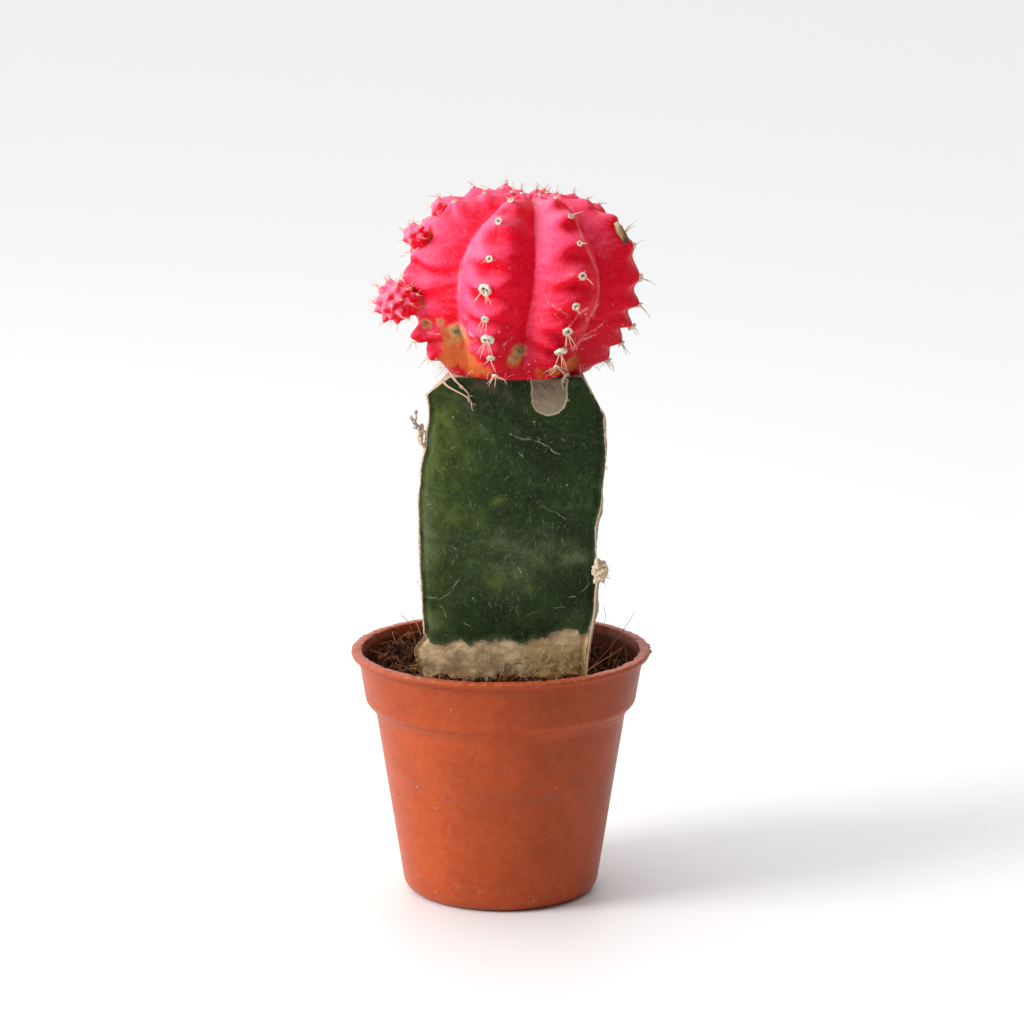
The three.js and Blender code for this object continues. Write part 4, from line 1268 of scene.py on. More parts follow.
def build_soil(look):
    rim = soil_rim(SOIL_LEVEL)
    columns = SOIL_COLUMNS
    angles = angles_round(columns)
    circle = np.column_stack([np.cos(angles), np.sin(angles)])
    walls = [(float(soil_rim(z)), z) for z in np.linspace(FLOOR_TOP + 1, SOIL_LEVEL - 1.2, 14)]
    walls = [(float(soil_rim(FLOOR_TOP)), FLOOR_TOP), *walls]
    sides = np.vstack([np.column_stack([circle * r, np.full(columns, z)]) for r, z in walls])
    shares = 1 - np.arange(SOIL_RINGS) / SOIL_RINGS
    level = np.full(columns, SOIL_LEVEL)
    top = np.vstack([np.column_stack([circle * rim * share, level]) for share in shares])
    x, y, _ = top.T
    radius = np.hypot(x, y)
    inner = band(radius, rim, rim - 1.2)
    rise = soil_relief(x, y) * (0.5 + 0.5 * inner)
    rise += 0.55 * noise(top, 2.1, 71, 2) * inner + 0.3 * noise(top, 0.8, 72, 3)
    top[:, 2] += rise
    top[:, :2] *= (soil_rim(top[:, 2]) / rim)[:, None]
    points = np.vstack([sides, top, (0, 0, FLOOR_TOP), (0, 0, SOIL_LEVEL)])
    count = len(points) - 2
    faces = ring_faces(len(walls) + SOIL_RINGS, columns)
    faces += fan_faces(count, 0, columns, turned=True) + fan_faces(count + 1, count - columns, columns)
    clear = band(stem_distance(x, y, SOIL_LEVEL + 1.0), 0.3, 1.2)
    outline = stock_section(stock_heights()[SOIL_SECTION], GAP)[0][::4]
    inside = np.array([inside_outline(*place, outline) for place in zip(x, y)])
    is_open = np.concatenate([np.zeros(len(sides)), clear * ~inside, (0, 0)])
    soil = make_object("Soil_Bed", points, faces, peat(look), {"open": is_open})
    sections = []
    for z in np.linspace(STOCK_FOOT, 52, 24):
        ring = stock_section(z, GAP)[0][::2]
        sections.append(np.column_stack([ring, np.full(len(ring), z)]))
    carve(soil, make_loft("hole", sections))
    return finish_piece(soil, "soil")


def inside_outline(x, y, outline):
    """Whether a place lies inside a closed outline."""
    x0, y0 = outline.T
    x1, y1 = np.roll(outline, -1, axis=0).T
    crosses = (y0 > y) != (y1 > y)
    reach = x0 + (y - y0) * (x1 - x0) / np.where(y1 == y0, 1e-9, y1 - y0)
    return bool(np.count_nonzero(crosses & (x < reach)) % 2)


def build_crumbs(look):
    soil = bpy.data.objects["Soil_Bed"]
    crumbs = bpy.data.objects.new("Soil_Crumbs", soil.data.copy())
    bpy.context.scene.collection.objects.link(crumbs)
    grown(crumbs, crumb_tree(), Size=look.crumb_size, Material=peat(look))
    return finish_piece(crumbs, "soil")


# Long hairs of the soil: the first six stand up and are browner, and the others lie along the front.
STANDING_HAIRS = 6
LONG_HAIRS = (
    ((16.3, -8.0, 43.5), (18.9, -6.0, 45.6), (21.7, -4.0, 48.6), (23.9, -2.5, 51.6), (24.6, -2.0, 52.7)),
    ((19.7, -2.0, 42.0), (20.4, -1.0, 45.2), (20.8, 0.5, 47.9), (21.9, 1.0, 49.4)),
    ((20.5, -3.0, 42.2), (21.7, -1.0, 44.6), (23.0, 1.0, 46.2), (25.2, 2.0, 46.9)),
    ((-15.2, 2.0, 43.0), (-16.0, 1.0, 47.9), (-17.2, 0.0, 50.8), (-18.4, -0.5, 51.8)),
    ((17.0, 2.0, 42.0), (18.0, 3.0, 47.0), (19.6, 3.0, 50.0), (19.0, 3.2, 52.6)),
    ((22.6, -6.0, 42.2), (23.2, -5.0, 45.0), (22.4, -4.4, 47.6)),
    ((-3.4, -10.6, 47.8), (-3.0, -10.7, 46.0), (-3.2, -10.8, 44.4), (-2.6, -11.2, 42.2)),
    ((-10.6, -10.5, 44.2), (-8.0, -10.8, 43.4), (-5.4, -10.9, 43.6), (-3.0, -11.0, 42.6)),
    ((-13.0, -10.6, 42.6), (-10.8, -10.9, 43.8), (-7.6, -11.0, 43.0), (-6.2, -11.0, 42.0)),
    ((4.8, -11.0, 42.2), (6.6, -10.8, 43.4), (8.2, -10.8, 44.0), (10.6, -11.0, 42.6)),
    ((-12.4, -11.6, 42.0), (-9.6, -11.4, 42.6), (-7.4, -11.6, 42.9), (-4.8, -12.0, 42.0)),
    ((15.6, -10.6, 43.6), (17.6, -9.6, 44.9), (19.8, -8.6, 45.9), (22.2, -7.4, 47.4)),
)


def build_fibres(look):
    """Curly coir fibres on the soil, and a few long hairs that stand up from it."""
    strands = Strands(31)
    random = strands.random
    laid = 0
    outline = stock_section(44.0, 1.0)[0][::4]
    while laid < look.fibres:
        turn = random.uniform(0, 2 * math.pi)
        radius = (soil_rim(SOIL_LEVEL) - 1.0) * math.sqrt(random.uniform(0.1, 1))
        x, y = radius * math.cos(turn), radius * math.sin(turn)
        if inside_outline(x, y, outline):
            continue
        laid += 1
        z = SOIL_LEVEL + float(soil_relief(x, y)) + random.uniform(0.2, 0.7)
        way = np.array((random.normal(), random.normal(), random.uniform(-0.1, 0.5)))
        path = strands.curved((x, y, z), way, random.uniform(2.0, 8), 0.7, 0.8, 10)
        reach = np.hypot(path[:, 0], path[:, 1])
        limit = MOUTH_RADIUS - 1.2
        path[:, :2] *= np.minimum(1, limit / np.maximum(reach, 1e-6))[:, None]
        floor = SOIL_LEVEL + soil_relief(path[:, 0], path[:, 1]) + 0.1
        path[:, 2] = np.maximum(path[:, 2], floor)
        thick = random.uniform(0.045, 0.12)
        strands.line(path, thick, thick * 0.5, 0.25 + 0.75 * random.uniform(0, 1) ** 0.6)
    for i, path in enumerate(LONG_HAIRS):
        strands.line(eased(path, 16), 0.09, 0.05, 0.4 if i < STANDING_HAIRS else 0.05)
    finish = strand_finish("Coir fibres", look.fibre, srgb(84, 44, 22), srgb(150, 104, 66))
    piece = strands.finished("Soil_Fibres", finish, sides=4)
    return finish_piece(piece, "soil")


# ---------- Head ----------


@lru_cache(maxsize=None)
def crest_line():
    """Points along a rib's crest, with their distance from the crown and their direction."""
    points = np.array(CREST, float)
    around = np.vstack([points[:1], points, points[-1:]])
    place = np.linspace(0, len(points) - 1, 2801)[:-1]
    i = place.astype(int)
    t = (place - i)[:, None]
    before, here, there = around[i], around[i + 1], around[i + 2]
    after = around[np.minimum(i + 3, len(around) - 1)]
    pull, push = (there - before) / 2, (after - here) / 2
    line = (2 * here - 2 * there + pull + push) * t**3 + (-3 * here + 3 * there - 2 * pull - push) * t**2
    line = line + pull * t + here
    travel = np.concatenate([[0], np.cumsum(np.linalg.norm(np.diff(line, axis=0), axis=1))])
    return line, travel, unit(np.gradient(line, axis=0))


def rib_rows(whole):
    """How far along each rib's crest its areoles lie, between the crown and the crest's end."""
    places = np.arange(len(AREOLE_ROWS))
    even = np.array([0, *AREOLE_ROWS, whole])
    shifted = [np.interp(places + 1 + shift, np.arange(len(even)), even) for shift in RIB_SHIFTS]
    shifted[0] = np.array(FRONT_RIB_ROWS)
    return np.array([[0, *row, whole] for row in shifted])


def lean_head(points):
    """Bends the head over towards its crown and sets it on the rootstock."""
    low, high = LEAN_RUN
    x, y, z = points.T
    x = x + BASE_DRIFT * np.minimum(z, 0)
    angle = np.radians(HEAD_LEAN) * smooth((z - low) / (high - low))
    sideways = x * np.cos(angle) + z * np.sin(angle)
    up = z * np.cos(angle) - x * np.sin(angle)
    return np.column_stack([sideways, y, up]) + HEAD_AT


# Odd tubercles that bulge on the left, in the head's own frame: place, reach and height.
LOBES = (
    ((-20.4, -7.8, 2.6), 2.3, 2.3), ((-17.8, -8.5, -7.2), 1.3, 2.4), ((-16.4, -8.5, -9.6), 1.2, 2.1),
    ((-15.4, -8.5, -11.8), 1.0, 1.3),
)


@lru_cache(maxsize=None)
def head_surface():
    """The head's skin as a grid of points from the crown down, with the marks that its finish reads."""
    columns = RIB_COLUMNS * len(RIBS)
    last = len(AREOLE_ROWS)
    rows = np.linspace(-1, last, (last + 1) * ROW_STEPS + 1)[1:]
    row, column = [grid.ravel() for grid in np.meshgrid(rows, np.arange(columns), indexing="ij")]
    rib = column // RIB_COLUMNS
    after = (rib + 1) % len(RIBS)
    share = column % RIB_COLUMNS / RIB_COLUMNS
    across = 1 - np.abs(1 - 2 * share)
    crests, sways = np.array([*RIBS, (RIBS[0][0] + 360, RIBS[0][1])], float).T
    turn = crests[rib] + (crests[rib + 1] - crests[rib]) * share
    turn += (sways[rib] + (sways[rib + 1] - sways[rib]) * smooth(share)) * band(row, 3.0, 7.0)
    line, travel, tangent = crest_line()
    fade = np.clip(row + 1, 0, 1) * np.clip(last - row, 0, 1)
    arcs = rib_rows(travel[-1])
    low = np.clip(np.floor(row + 1), 0, last).astype(int)
    eased_share = smooth(share)
    here = arcs[rib, low] * (1 - eased_share) + arcs[after, low] * eased_share
    there = arcs[rib, low + 1] * (1 - eased_share) + arcs[after, low + 1] * eased_share
    travelled = here + (there - here) * (row + 1 - low)
    radius, height = (np.interp(travelled, travel, line[:, axis]) for axis in (0, 1))
    slope_out, slope_up = (np.interp(travelled, travel, tangent[:, axis]) for axis in (0, 1))
    angle = np.radians(turn)
    way = np.column_stack([np.sin(angle), -np.cos(angle)])
    points = np.column_stack([way * radius[:, None], height])
    outward = np.column_stack([way * -slope_up[:, None], slope_out])
    ended, full = FURROW_END
    furrow = smooth(np.where(height > 0, radius / FURROW_START, (radius - ended) / (full - ended)))
    # No two tubercles are quite alike, and the folds below them wander on their way to the furrow.
    sizes = np.random.default_rng(61).uniform(0.65, 1.3, (len(RIBS), last + 3))
    nearest = np.where(share < 0.5, rib, after)
    step = smooth(row + 1 - low)
    fade = fade * (sizes[nearest, low] * (1 - step) + sizes[nearest, low + 1] * step)
    # Folds are deep on the right flank of a rib, and run out soon on its left.
    fade = fade * (1 - 0.5 * band(across, 0.05, 0.6) * (share > 0.5))
    wander = row + 0.45 * across * noise(points, 7.0, 62, 2)
    rounded = 1 - (1 - across) ** 1.25
    marks = {"across": rounded, "row": wander, "fade": fade, "furrow_share": furrow, "outward": outward}
    faces = ring_faces(len(rows), columns, turned=True)
    turned = make_object("turned", points, faces, marks=marks)
    grown(turned, rib_tree(), **{"Furrow sharpness": 2.1, "Reach": 1.3})
    points = points_of(turned)
    remove(turned)
    hollow = hollow_share(wander, across) * np.clip(fade, 0, 1)
    # The skin's own unevenness: slack swells, pinched folds across each rib, and fine pimples.
    swell = 0.42 * noise(points, 8.5, 81, 2) * band(radius, 0.5, 5)
    fold = 0.16 * noise(points * (1, 1, 2.4), 3.2, 82, 2) * (0.4 + across)
    grain = 0.035 * noise(points, 0.7, 83, 2)
    lobes = sum(rise * np.exp(-np.sum(((points - at) / size) ** 2, axis=1)) for at, size, rise in LOBES)
    points = points + outward * (swell + fold + grain + lobes)[:, None]
    grid_marks = {"across": across, "hollow": hollow}
    return lean_head(points).reshape(len(rows), columns, 3), grid_marks


def hollow_share(row, across):
    """How deep a place lies in the notch under an areole, 0 to 1."""
    place = (row - SLANT * across) % 1
    fallen = smooth(place / NOTCH) * (1 - smooth((place - NOTCH) / (1 - NOTCH)))
    return np.clip(fallen, 0, 1) * (1 - across) ** 0.5


# Ochre dried skin, grey-brown calluses, pale film and painted highlights on the head's front: X, height and
# radius.
OCHRE_SPOTS = (
    (-9.2, 105.6, 1.6), (-7.4, 104.6, 2.0), (-8.3, 102.6, 2.4), (-6.2, 101.0, 2.1),
    (-4.6, 99.4, 1.7), (-9.4, 100.6, 2.0), (-2.4, 99.0, 1.1), (12.6, 100.1, 1.6),
    (9.8, 99.3, 1.2), (2.6, 101.4, 1.4), (7.0, 98.8, 1.0),
)
# The painted light on the skin comes from this way: sides that face it are painted pinker.
PAINTED_LIGHT_WAY = (-0.62, -0.25, 0.74)
CROWN_SPOTS = ((6.0, 129.3, 0.6), (6.1, 128.2, 0.3))
CALLUS_SPOTS = (
    (-7.7, 106.3, 1.1), (-10.7, 107.8, 0.3), (-13.2, 107.2, 0.5), (3.3, 103.1, 0.9), (2.6, 101.8, 0.7),
)
FOLD_LINES = (
    ((-5.3, 121.5), (-6.5, 119.1), (-7.1, 117.4), (-7.4, 113.8)),
    ((11.1, 129.7), (13.4, 126.2), (14.3, 123.5), (15.8, 120.5), (17.3, 116.7), (17.5, 112.5),
     (16.2, 109.5)),
)
# Pale film, and painted highlights along the tops of tubercles, as lines of X and height.
FILM_AND_HIGHLIGHT_LINES = (
    ((12.7, 104.0), (14.4, 104.9), (16.6, 106.0), (18.6, 107.6)),
    ((12.9, 103.2), (15.0, 104.4), (17.0, 105.2)),
    ((16.6, 108.9), (16.9, 110.4), (17.2, 111.8)),
    ((12.0, 107.8), (13.8, 110.3), (15.4, 111.2)),
    ((2.0, 105.9), (0.6, 104.6)),
    ((-4.2, 105.4), (-5.4, 106.8)),
    ((11.3, 117.0), (12.2, 117.4), (13.1, 117.3), (13.9, 116.8)),
    ((8.5, 112.5), (10.8, 111.1), (12.0, 109.9)),
    ((15.0, 110.1), (15.5, 108.7), (16.3, 109.9), (17.2, 110.8)),
)


def spot_distance(x, z, spots):
    """How far places lie outside the nearest of some round spots. It is negative inside."""
    return np.min([np.hypot(x - sx, z - sz) - radius for sx, sz, radius in spots], axis=0)


def head_skin(look):
    """Thin, glossy, blotched red skin over watery flesh, with dried ochre patches near the graft."""
    finish = Finish("Head skin")
    hollow = finish.mark("hollow")
    across = finish.mark("across")
    blotches = finish.noise(3.4, 4, 0.6)
    fine = finish.noise(0.5, 4, 0.65)
    # Painted light and shade: the skin is pinker on the sides that face the light, and deep red on the sides
    # turned away, low down and in the folds.
    bleached = finish.uneven("bleached", blotches, 0.4)
    # Painted shade: the deep red is darker towards the graft, on the head's underside.
    deep = finish.mix(finish.band(finish.height(), 113, 101), look.shade, shaded(look.shade, 0.72))
    colour = finish.mix(finish.band(bleached, 0.16, 0.85), deep, look.skin)
    # Painted highlight: paler pink where the skin faces the light most, and fine pale mottling only on the
    # lit sides.
    colour = finish.tint(colour, finish.band(bleached, 0.7, 1.15), 0.4, srgb(255, 140, 172))
    lit_side_speckle = finish.times(finish.band(fine, 0.4, 0.75), finish.band(bleached, 0.0, 0.8, 0.06, 0.3))
    colour = finish.mix(lit_side_speckle, colour, srgb(255, 130, 160))
    colour = finish.tint(colour, finish.specks(0.42, 0.09), 0.2, srgb(255, 150, 170))
    # Painted shade: deep red in the notches under the areoles and along the furrows.
    colour = finish.tint(colour, finish.band(hollow, 0.25, 0.9), 0.65, deep)
    colour = finish.tint(colour, finish.band(across, 0.9, 1.0), 0.1, deep)
    # Pale flecks of dry skin gather towards the graft.
    height = finish.height()
    lower = finish.band(height, 115, 102)
    flecks = finish.times(finish.specks(1.7, 0.2), finish.math("MULTIPLY_ADD", lower, 0.55, 0.15))
    colour = finish.mix(flecks, colour, srgb(250, 180, 180))
    torn = finish.noise(1.3, 4, 0.7, finish.stretched(0.5, 0.5, 1.0), 1.5)
    shreds = finish.times(finish.band(torn, 0.63, 0.7), lower)
    colour = finish.tint(colour, shreds, 0.55, srgb(240, 190, 176))
    ochre = finish.band(finish.frayed(finish.mark("ochre_mm"), 1.2, 2.4, 4, 0.65), 0.35, -0.5)
    tan = finish.times(finish.band(finish.noise(1.4, 5, 0.7), 0.4, 0.65), finish.band(height, 100, 105))
    dried = finish.mix(finish.math("MULTIPLY_ADD", tan, 0.75, 0.1), look.dry, srgb(186, 142, 90))
    dried = finish.mix(finish.band(finish.noise(2.6, 3), 0.52, 0.7), dried, srgb(214, 60, 44))
    colour = finish.tint(colour, ochre, 0.9, dried)
    grain = finish.noise(0.4, 4, 0.7)
    callus = finish.frayed(finish.mark("callus_mm"), 0.9, 1.6, 4, 0.7)
    halo = finish.mix(finish.band(grain, 0.35, 0.65), srgb(190, 140, 84), srgb(214, 180, 130))
    colour = finish.tint(colour, finish.band(callus, 0.9, 0.0), 0.6, halo)
    grey = finish.mix(finish.band(grain, 0.35, 0.65), srgb(96, 82, 54), srgb(168, 156, 120))
    grey = finish.mix(finish.band(callus, -0.3, -1.0), grey, srgb(84, 74, 54))
    colour = finish.tint(colour, finish.band(callus, 0.2, -0.5), 0.9, grey)
    # Pale film, and painted highlights as pale pink lines on the tops of tubercles.
    film = finish.frayed(finish.mark("film_mm"), 0.9, 1.1, 4)
    colour = finish.tint(colour, finish.band(film, 0.3, 0.0), 0.45, srgb(250, 170, 176))
    fold = finish.frayed(finish.mark("fold_mm"), 2.2, 0.3)
    colour = finish.tint(colour, finish.band(fold, 0.42, 0.0), 0.32, srgb(255, 150, 165))
    dry = finish.math("MAXIMUM", ochre, finish.band(callus, 0.1, -0.15))
    rough = finish.math("MULTIPLY_ADD", blotches, 0.2, 0.36)
    rough = finish.math("MULTIPLY_ADD", dry, 0.35, rough)
    relief = finish.bump(finish.noise(0.28, 2, 0.6), 0.035)
    relief = finish.bump(finish.noise(1.6, 3, 0.6), 0.14, relief)
    relief = finish.bump(finish.times(dry, grain), 0.3, relief)
    finish.set(Base_Color=colour, Roughness=rough, Normal=relief)
    finish.set(Subsurface_Weight=0.55, Subsurface_Scale=0.0024, Subsurface_Radius=(1.0, 0.16, 0.2))
    finish.set(Specular_IOR_Level=0.1)
    return finish.material


def cut_level(thing, height):
    """Cuts an object off level below a height in millimetres, and closes the cut."""
    mesh = bmesh.new()
    mesh.from_mesh(thing.data)
    everything = [*mesh.verts, *mesh.edges, *mesh.faces]
    cut = bmesh.ops.bisect_plane(
        mesh, geom=everything, dist=1e-7, plane_co=(0, 0, height * MM), plane_no=(0, 0, 1), clear_inner=True
    )
    rim = [edge for edge in cut["geom_cut"] if isinstance(edge, bmesh.types.BMEdge)]
    bmesh.ops.edgeloop_fill(mesh, edges=rim)
    bmesh.ops.recalc_face_normals(mesh, faces=mesh.faces)
    mesh.to_mesh(thing.data)
    mesh.free()


def build_head(look):
    grid, found = head_surface()
    rings, columns, _ = grid.shape
    points = grid.reshape(-1, 3)
    x, y, z = points.T
    front = y < HEAD_AT[1] - 4
    callus = np.where(front, spot_distance(x, z, CALLUS_SPOTS), FAR)
    marks = {
        "across": found["across"],
        "hollow": found["hollow"],
        "callus_mm": callus,
        "film_mm": np.where(front, line_distance(x, z, FILM_AND_HIGHLIGHT_LINES), FAR),
        "fold_mm": np.where(front, line_distance(x, z, FOLD_LINES), FAR),
    }
    behind = band(y, HEAD_AT[1] - 6, HEAD_AT[1] + 2)
    dry_behind = z - 101.6 + 4 * noise(points, 7, 90, 2)
    marks["ochre_mm"] = np.minimum(spot_distance(x, z, OCHRE_SPOTS), 6) * (1 - behind) + dry_behind * behind
    # Around the crown the young skin is dry between the ribs.
    crown = np.hypot(x - points[0, 0], y - points[0, 1]) - 1.6
    near_crown = np.where(z > 120, crown + 2 * noise(points, 1.6, 92, 2), FAR)
    marks["ochre_mm"] = np.minimum(marks["ochre_mm"], near_crown)
    at_crown = np.where(y < HEAD_AT[1], spot_distance(x, z, CROWN_SPOTS), FAR)
    marks["ochre_mm"] = np.minimum(marks["ochre_mm"], at_crown)
    tangent = np.roll(grid, -1, axis=1) - np.roll(grid, 1, axis=1)
    down = np.gradient(grid, axis=0)
    outward = unit(np.cross(down, tangent)).reshape(-1, 3)
    # Painted light: how far each point faces the light, which the finish paints pinker.
    marks["bleached"] = outward @ PAINTED_LIGHT_WAY
    dome = 0.3 * band(callus, 0.25, -0.6) + 0.12 * band(callus, 0.2, -0.2) * noise(points, 0.5, 93, 2)
    points = points + outward * dome[:, None]
    pole = points[:columns].mean(axis=0)
    faces = ring_faces(rings, columns, turned=True) + fan_faces(len(points), 0, columns)
    marks = {key: np.append(values, values[0]) for key, values in marks.items()}
    head = make_object("Head_Skin", np.vstack([points, pole]), faces, head_skin(look), marks)
    cut_level(head, GRAFT)
    return finish_piece(head, "moon_cactus_head")


WOOL_HAIRS = 14  # for each millimetre of a ring's radius
GRAFT_HAIRS = 72
# Radius of the woolly ring of each areole, from the crown down.
RING_SIZES = (0.36, 0.4, 0.45, 0.55, 0.66, 0.66, 0.72, 0.7, 0.6)
# The larger and smaller rings of the two ribs that face the front, by rib and row.
FRONT_RINGS = {
    (0, 0): 0.5, (0, 1): 0.6, (0, 2): 0.66, (0, 3): 0.62, (0, 4): 1.15, (0, 5): 0.7, (0, 6): 1.2,
    (1, 4): 0.75, (1, 6): 0.9, (1, 7): 1.1,
}
# The rib and row of the areole that the scab has taken the place of.
SCAB_AREOLE = (2, 2)


def young_head_near(point):
    return any(math.dist(point, head["at"]) < head["radius"] + 1.4 for head in YOUNG_HEADS)


def head_areoles():
    """Every areole's rib, row, place, outward way and ring radius."""
    grid, _ = head_surface()
    random = np.random.default_rng(41)
    found = []
    for rib in range(len(RIBS)):
        column = rib * RIB_COLUMNS
        for row in range(len(AREOLE_ROWS)):
            i = (row + 1) * ROW_STEPS - 1
            point = grid[i, column]
            down = grid[i + 4, column] - grid[i - 4, column]
            east = grid[i, (column + 5) % grid.shape[1]] - grid[i, column - 5]
            size = FRONT_RINGS.get((rib, row), RING_SIZES[row] * random.uniform(0.85, 1.2))
            if point[2] < GRAFT + 0.6 or young_head_near(point) or (rib, row) == SCAB_AREOLE:
                continue
            size = min(size, 0.45 + 0.12 * (point[2] - GRAFT))
            found.append((rib, row, point, unit(np.cross(down, east)), size))
    return found


def areole_ring(seed):
    """A thick, felted ring of wool with a radius of 1."""
    around, section = 26, 9
    turn, bend = angles_round(around), angles_round(section)
    across, up = 0.72 + 0.3 * np.cos(bend), 0.12 + 0.34 * np.sin(bend)
    points = np.array([(r * math.cos(t), r * math.sin(t), z) for t in turn for r, z in zip(across, up)])
    points += 0.16 * np.column_stack([noise(points, 0.4, seed + axis, 2) for axis in range(3)])
    faces = []
    for i, j in itertools.product(range(around), range(section)):
        i1, j1 = (i + 1) % around, (j + 1) % section
        faces.append((i * section + j, i1 * section + j, i1 * section + j1, i * section + j1))
    return points, faces


def wool_finish(look):
    """Matted cream wool, grey where it is old."""
    finish = Finish("Areole wool")
    felt = finish.noise(0.22, 3, 0.7)
    colour = finish.clouded(look.wool, felt, 0.3, 0.6, 0.78, 1.1)
    colour = finish.tint(colour, finish.band(finish.noise(4, 2), 0.55, 0.7), 0.4, srgb(196, 182, 156))
    finish.set(Base_Color=colour, Roughness=0.95, Normal=finish.bump(felt, 0.12), Specular_IOR_Level=0.2)
    return finish.material


def eye_finish():
    """The brown, dry middle of an areole."""
    finish = Finish("Areole eye")
    grain = finish.noise(0.2, 3, 0.7)
    colour = finish.mix(finish.band(grain, 0.4, 0.7), srgb(52, 30, 24), srgb(116, 82, 62))
    finish.set(Base_Color=colour, Roughness=0.8, Normal=finish.bump(grain, 0.1))
    return finish.material


def build_areoles(look):
    """Woolly rings with a dark eye on every areole of the head."""
    areoles = head_areoles()
    random = np.random.default_rng(43)
    places = np.array([point + way * 0.02 * size for _, _, point, way, size in areoles])
    ways = np.array([way for *_, way, _ in areoles])
    sizes = np.array([size for *_, size in areoles])
    marks = {"facing": ways, "size": sizes * MM, "spin": random.uniform(0, FULL_TURN, len(areoles))}
    form, faces = areole_ring(3)
    ring = make_object("ring", form / MM, faces)
    turn_outwards(ring)
    wool = make_object("Areole_Wool", places, [], marks=marks)
    grown(wool, setting_tree(), Piece=ring, Size=1.0, Material=wool_finish(look))
    form, faces = ball(0.56, 2)
    eye = make_object("eye", form * (1, 1, 0.4) / MM, faces)
    eyes = make_object("Areole_Eyes", places, [], marks=marks)
    grown(eyes, setting_tree(), Piece=eye, Size=1.0, Material=eye_finish())
    remove(ring, eye)
    for piece in (wool, eyes):
        finish_piece(piece, "moon_cactus_head")


def build_spines(look):
    """Curved spines on the areoles, short wool hairs round them, and dry hairs at the graft."""
    strands = Strands(47)
    random = strands.random
    for _, row, point, way, size in head_areoles():
        side = unit(np.cross((0, 0, 1), way))
        big, lowest = size > 0.85, point[2] < GRAFT + 4.5
        count = int(random.integers(1, 3)) + (row > 3) + 2 * big + 3 * lowest
        for i in range(count):
            fan = (i - (count - 1) / 2) * (1.2 if lowest else 0.75) + random.normal(scale=0.3)
            lean = way + side * fan + np.array((0, 0, random.normal(scale=0.25) - 0.1 - 0.4 * big))
            length = (random.uniform(1.4, 2.8) + 1.0 * big + 0.3 * (row > 3)) * (0.65 if row < 2 else 1.0)
            droop, curl = 0.3 + 0.9 * big, 0.35 + 0.4 * lowest
            path = strands.curved(point + way * 0.2 * size, lean, length, droop, curl, 9)
            strands.line(path, random.uniform(0.38, 0.52), 0.14, random.uniform(0, 0.6))
        for _ in range(int(WOOL_HAIRS * size)):
            turn = random.uniform(0, FULL_TURN)
            out = side * math.cos(turn) + np.cross(way, side) * math.sin(turn)
            start = point + out * size * random.uniform(0.4, 0.9) + way * 0.2 * size
            lean = out + way * random.uniform(0.2, 1.2)
            path = strands.curved(start, lean, random.uniform(0.3, 0.7), 0.2, 0.6, 4)
            strands.line(path, 0.16, 0.06, random.uniform(0, 0.2))
        for _ in range(2 if row < 3 else 0):
            lean = way + random.normal(scale=0.35, size=3)
            path = strands.curved(point, lean, random.uniform(0.7, 1.8), -0.2, 0.5, 6)
            strands.line(path, 0.17, 0.07, random.uniform(0.5, 1))
    at, _, down, way = scab_place()
    for turn, length in ((0.2, 3.4), (-0.2, 2.4), (0.8, 1.8), (1.6, 1.4)):
        lean = way * 1.6 - down * 0.6 + (0, 0, turn - 0.4)
        path = strands.curved(at + way * 0.5 + down * 1.2, lean, length, 0.1, 0.2, 8)
        strands.line(path, 0.4, 0.16, 0.9)
    grid, _ = head_surface()
    for _ in range(GRAFT_HAIRS):
        column = int(random.integers(grid.shape[1]))
        ring = grid[:, column]
        i = int(np.argmin(np.abs(ring[:, 2] - GRAFT - random.uniform(0.4, 2.2))))
        out = unit((ring[i] - HEAD_AT) * (1, 1, 0))
        lean = out + random.normal(scale=0.5, size=3) + (0, 0, -0.4)
        path = strands.curved(ring[i] - out * 0.1, lean, random.uniform(1.2, 3.6), 0.9, 0.8, 8)
        strands.line(path, 0.24, 0.08, random.uniform(0.1, 0.8))
    finish = strand_finish("Spines", shaded(look.wool, 0.95), srgb(206, 164, 132), srgb(168, 110, 84))
    piece = strands.finished("Head_Spines", finish, sides=5, thickness=look.spine_thickness / MM)
    return finish_piece(piece, "moon_cactus_head")


def scab_wood():
    """A dried, split scab, pale towards the crown and dark at its crumbled end."""
    finish = Finish("Scab")
    layers = finish.noise(0.7, 5, 0.8, finish.stretched(0.8, 0.8, 1.4), 1.0)
    worn = finish.uneven("worn", layers, 3.0)
    colour = finish.mix(finish.band(layers, 0.35, 0.65), srgb(190, 146, 96), srgb(250, 222, 176))
    colour = finish.mix(finish.band(worn, 0.2, 1.2), colour, srgb(84, 50, 28))
    finish.set(Base_Color=colour, Roughness=0.85, Normal=finish.bump(layers, 0.4))
    return finish.material


def scab_place():
    """Where the scab lies on the head, with the ways east, down and out of the skin."""
    grid, _ = head_surface()
    rib, row = SCAB_AREOLE
    i, column = (row + 1) * ROW_STEPS + 6, rib * RIB_COLUMNS - 3
    down = unit(grid[i + 5, column] - grid[i - 5, column])
    east = unit(grid[i, column + 5] - grid[i, column - 5])
    return grid[i, column] + (0.1, -0.4, 0.6), east, down, unit(np.cross(down, east))


def build_scab():
    """The woody scab that took the place of an areole on the right."""
    at, east, down, way = scab_place()
    form, faces = ball(1.0, 5)
    worn = form[:, 1] + 0.5 * form[:, 2]
    form = form * (1.1, 2.4, 0.7) * (1 + 0.5 * form[:, 1:2])
    form += unit(form) * (0.24 * noise(form, 0.6, 101, 3))[:, None]
    points = at + form[:, :1] * east + form[:, 1:2] * down + form[:, 2:] * way
    scab = make_object("Head_Scab", points, faces, scab_wood(), {"worn": worn})
    turn_outwards(scab)
    return finish_piece(scab, "moon_cactus_head")


# ---------- Young heads ----------


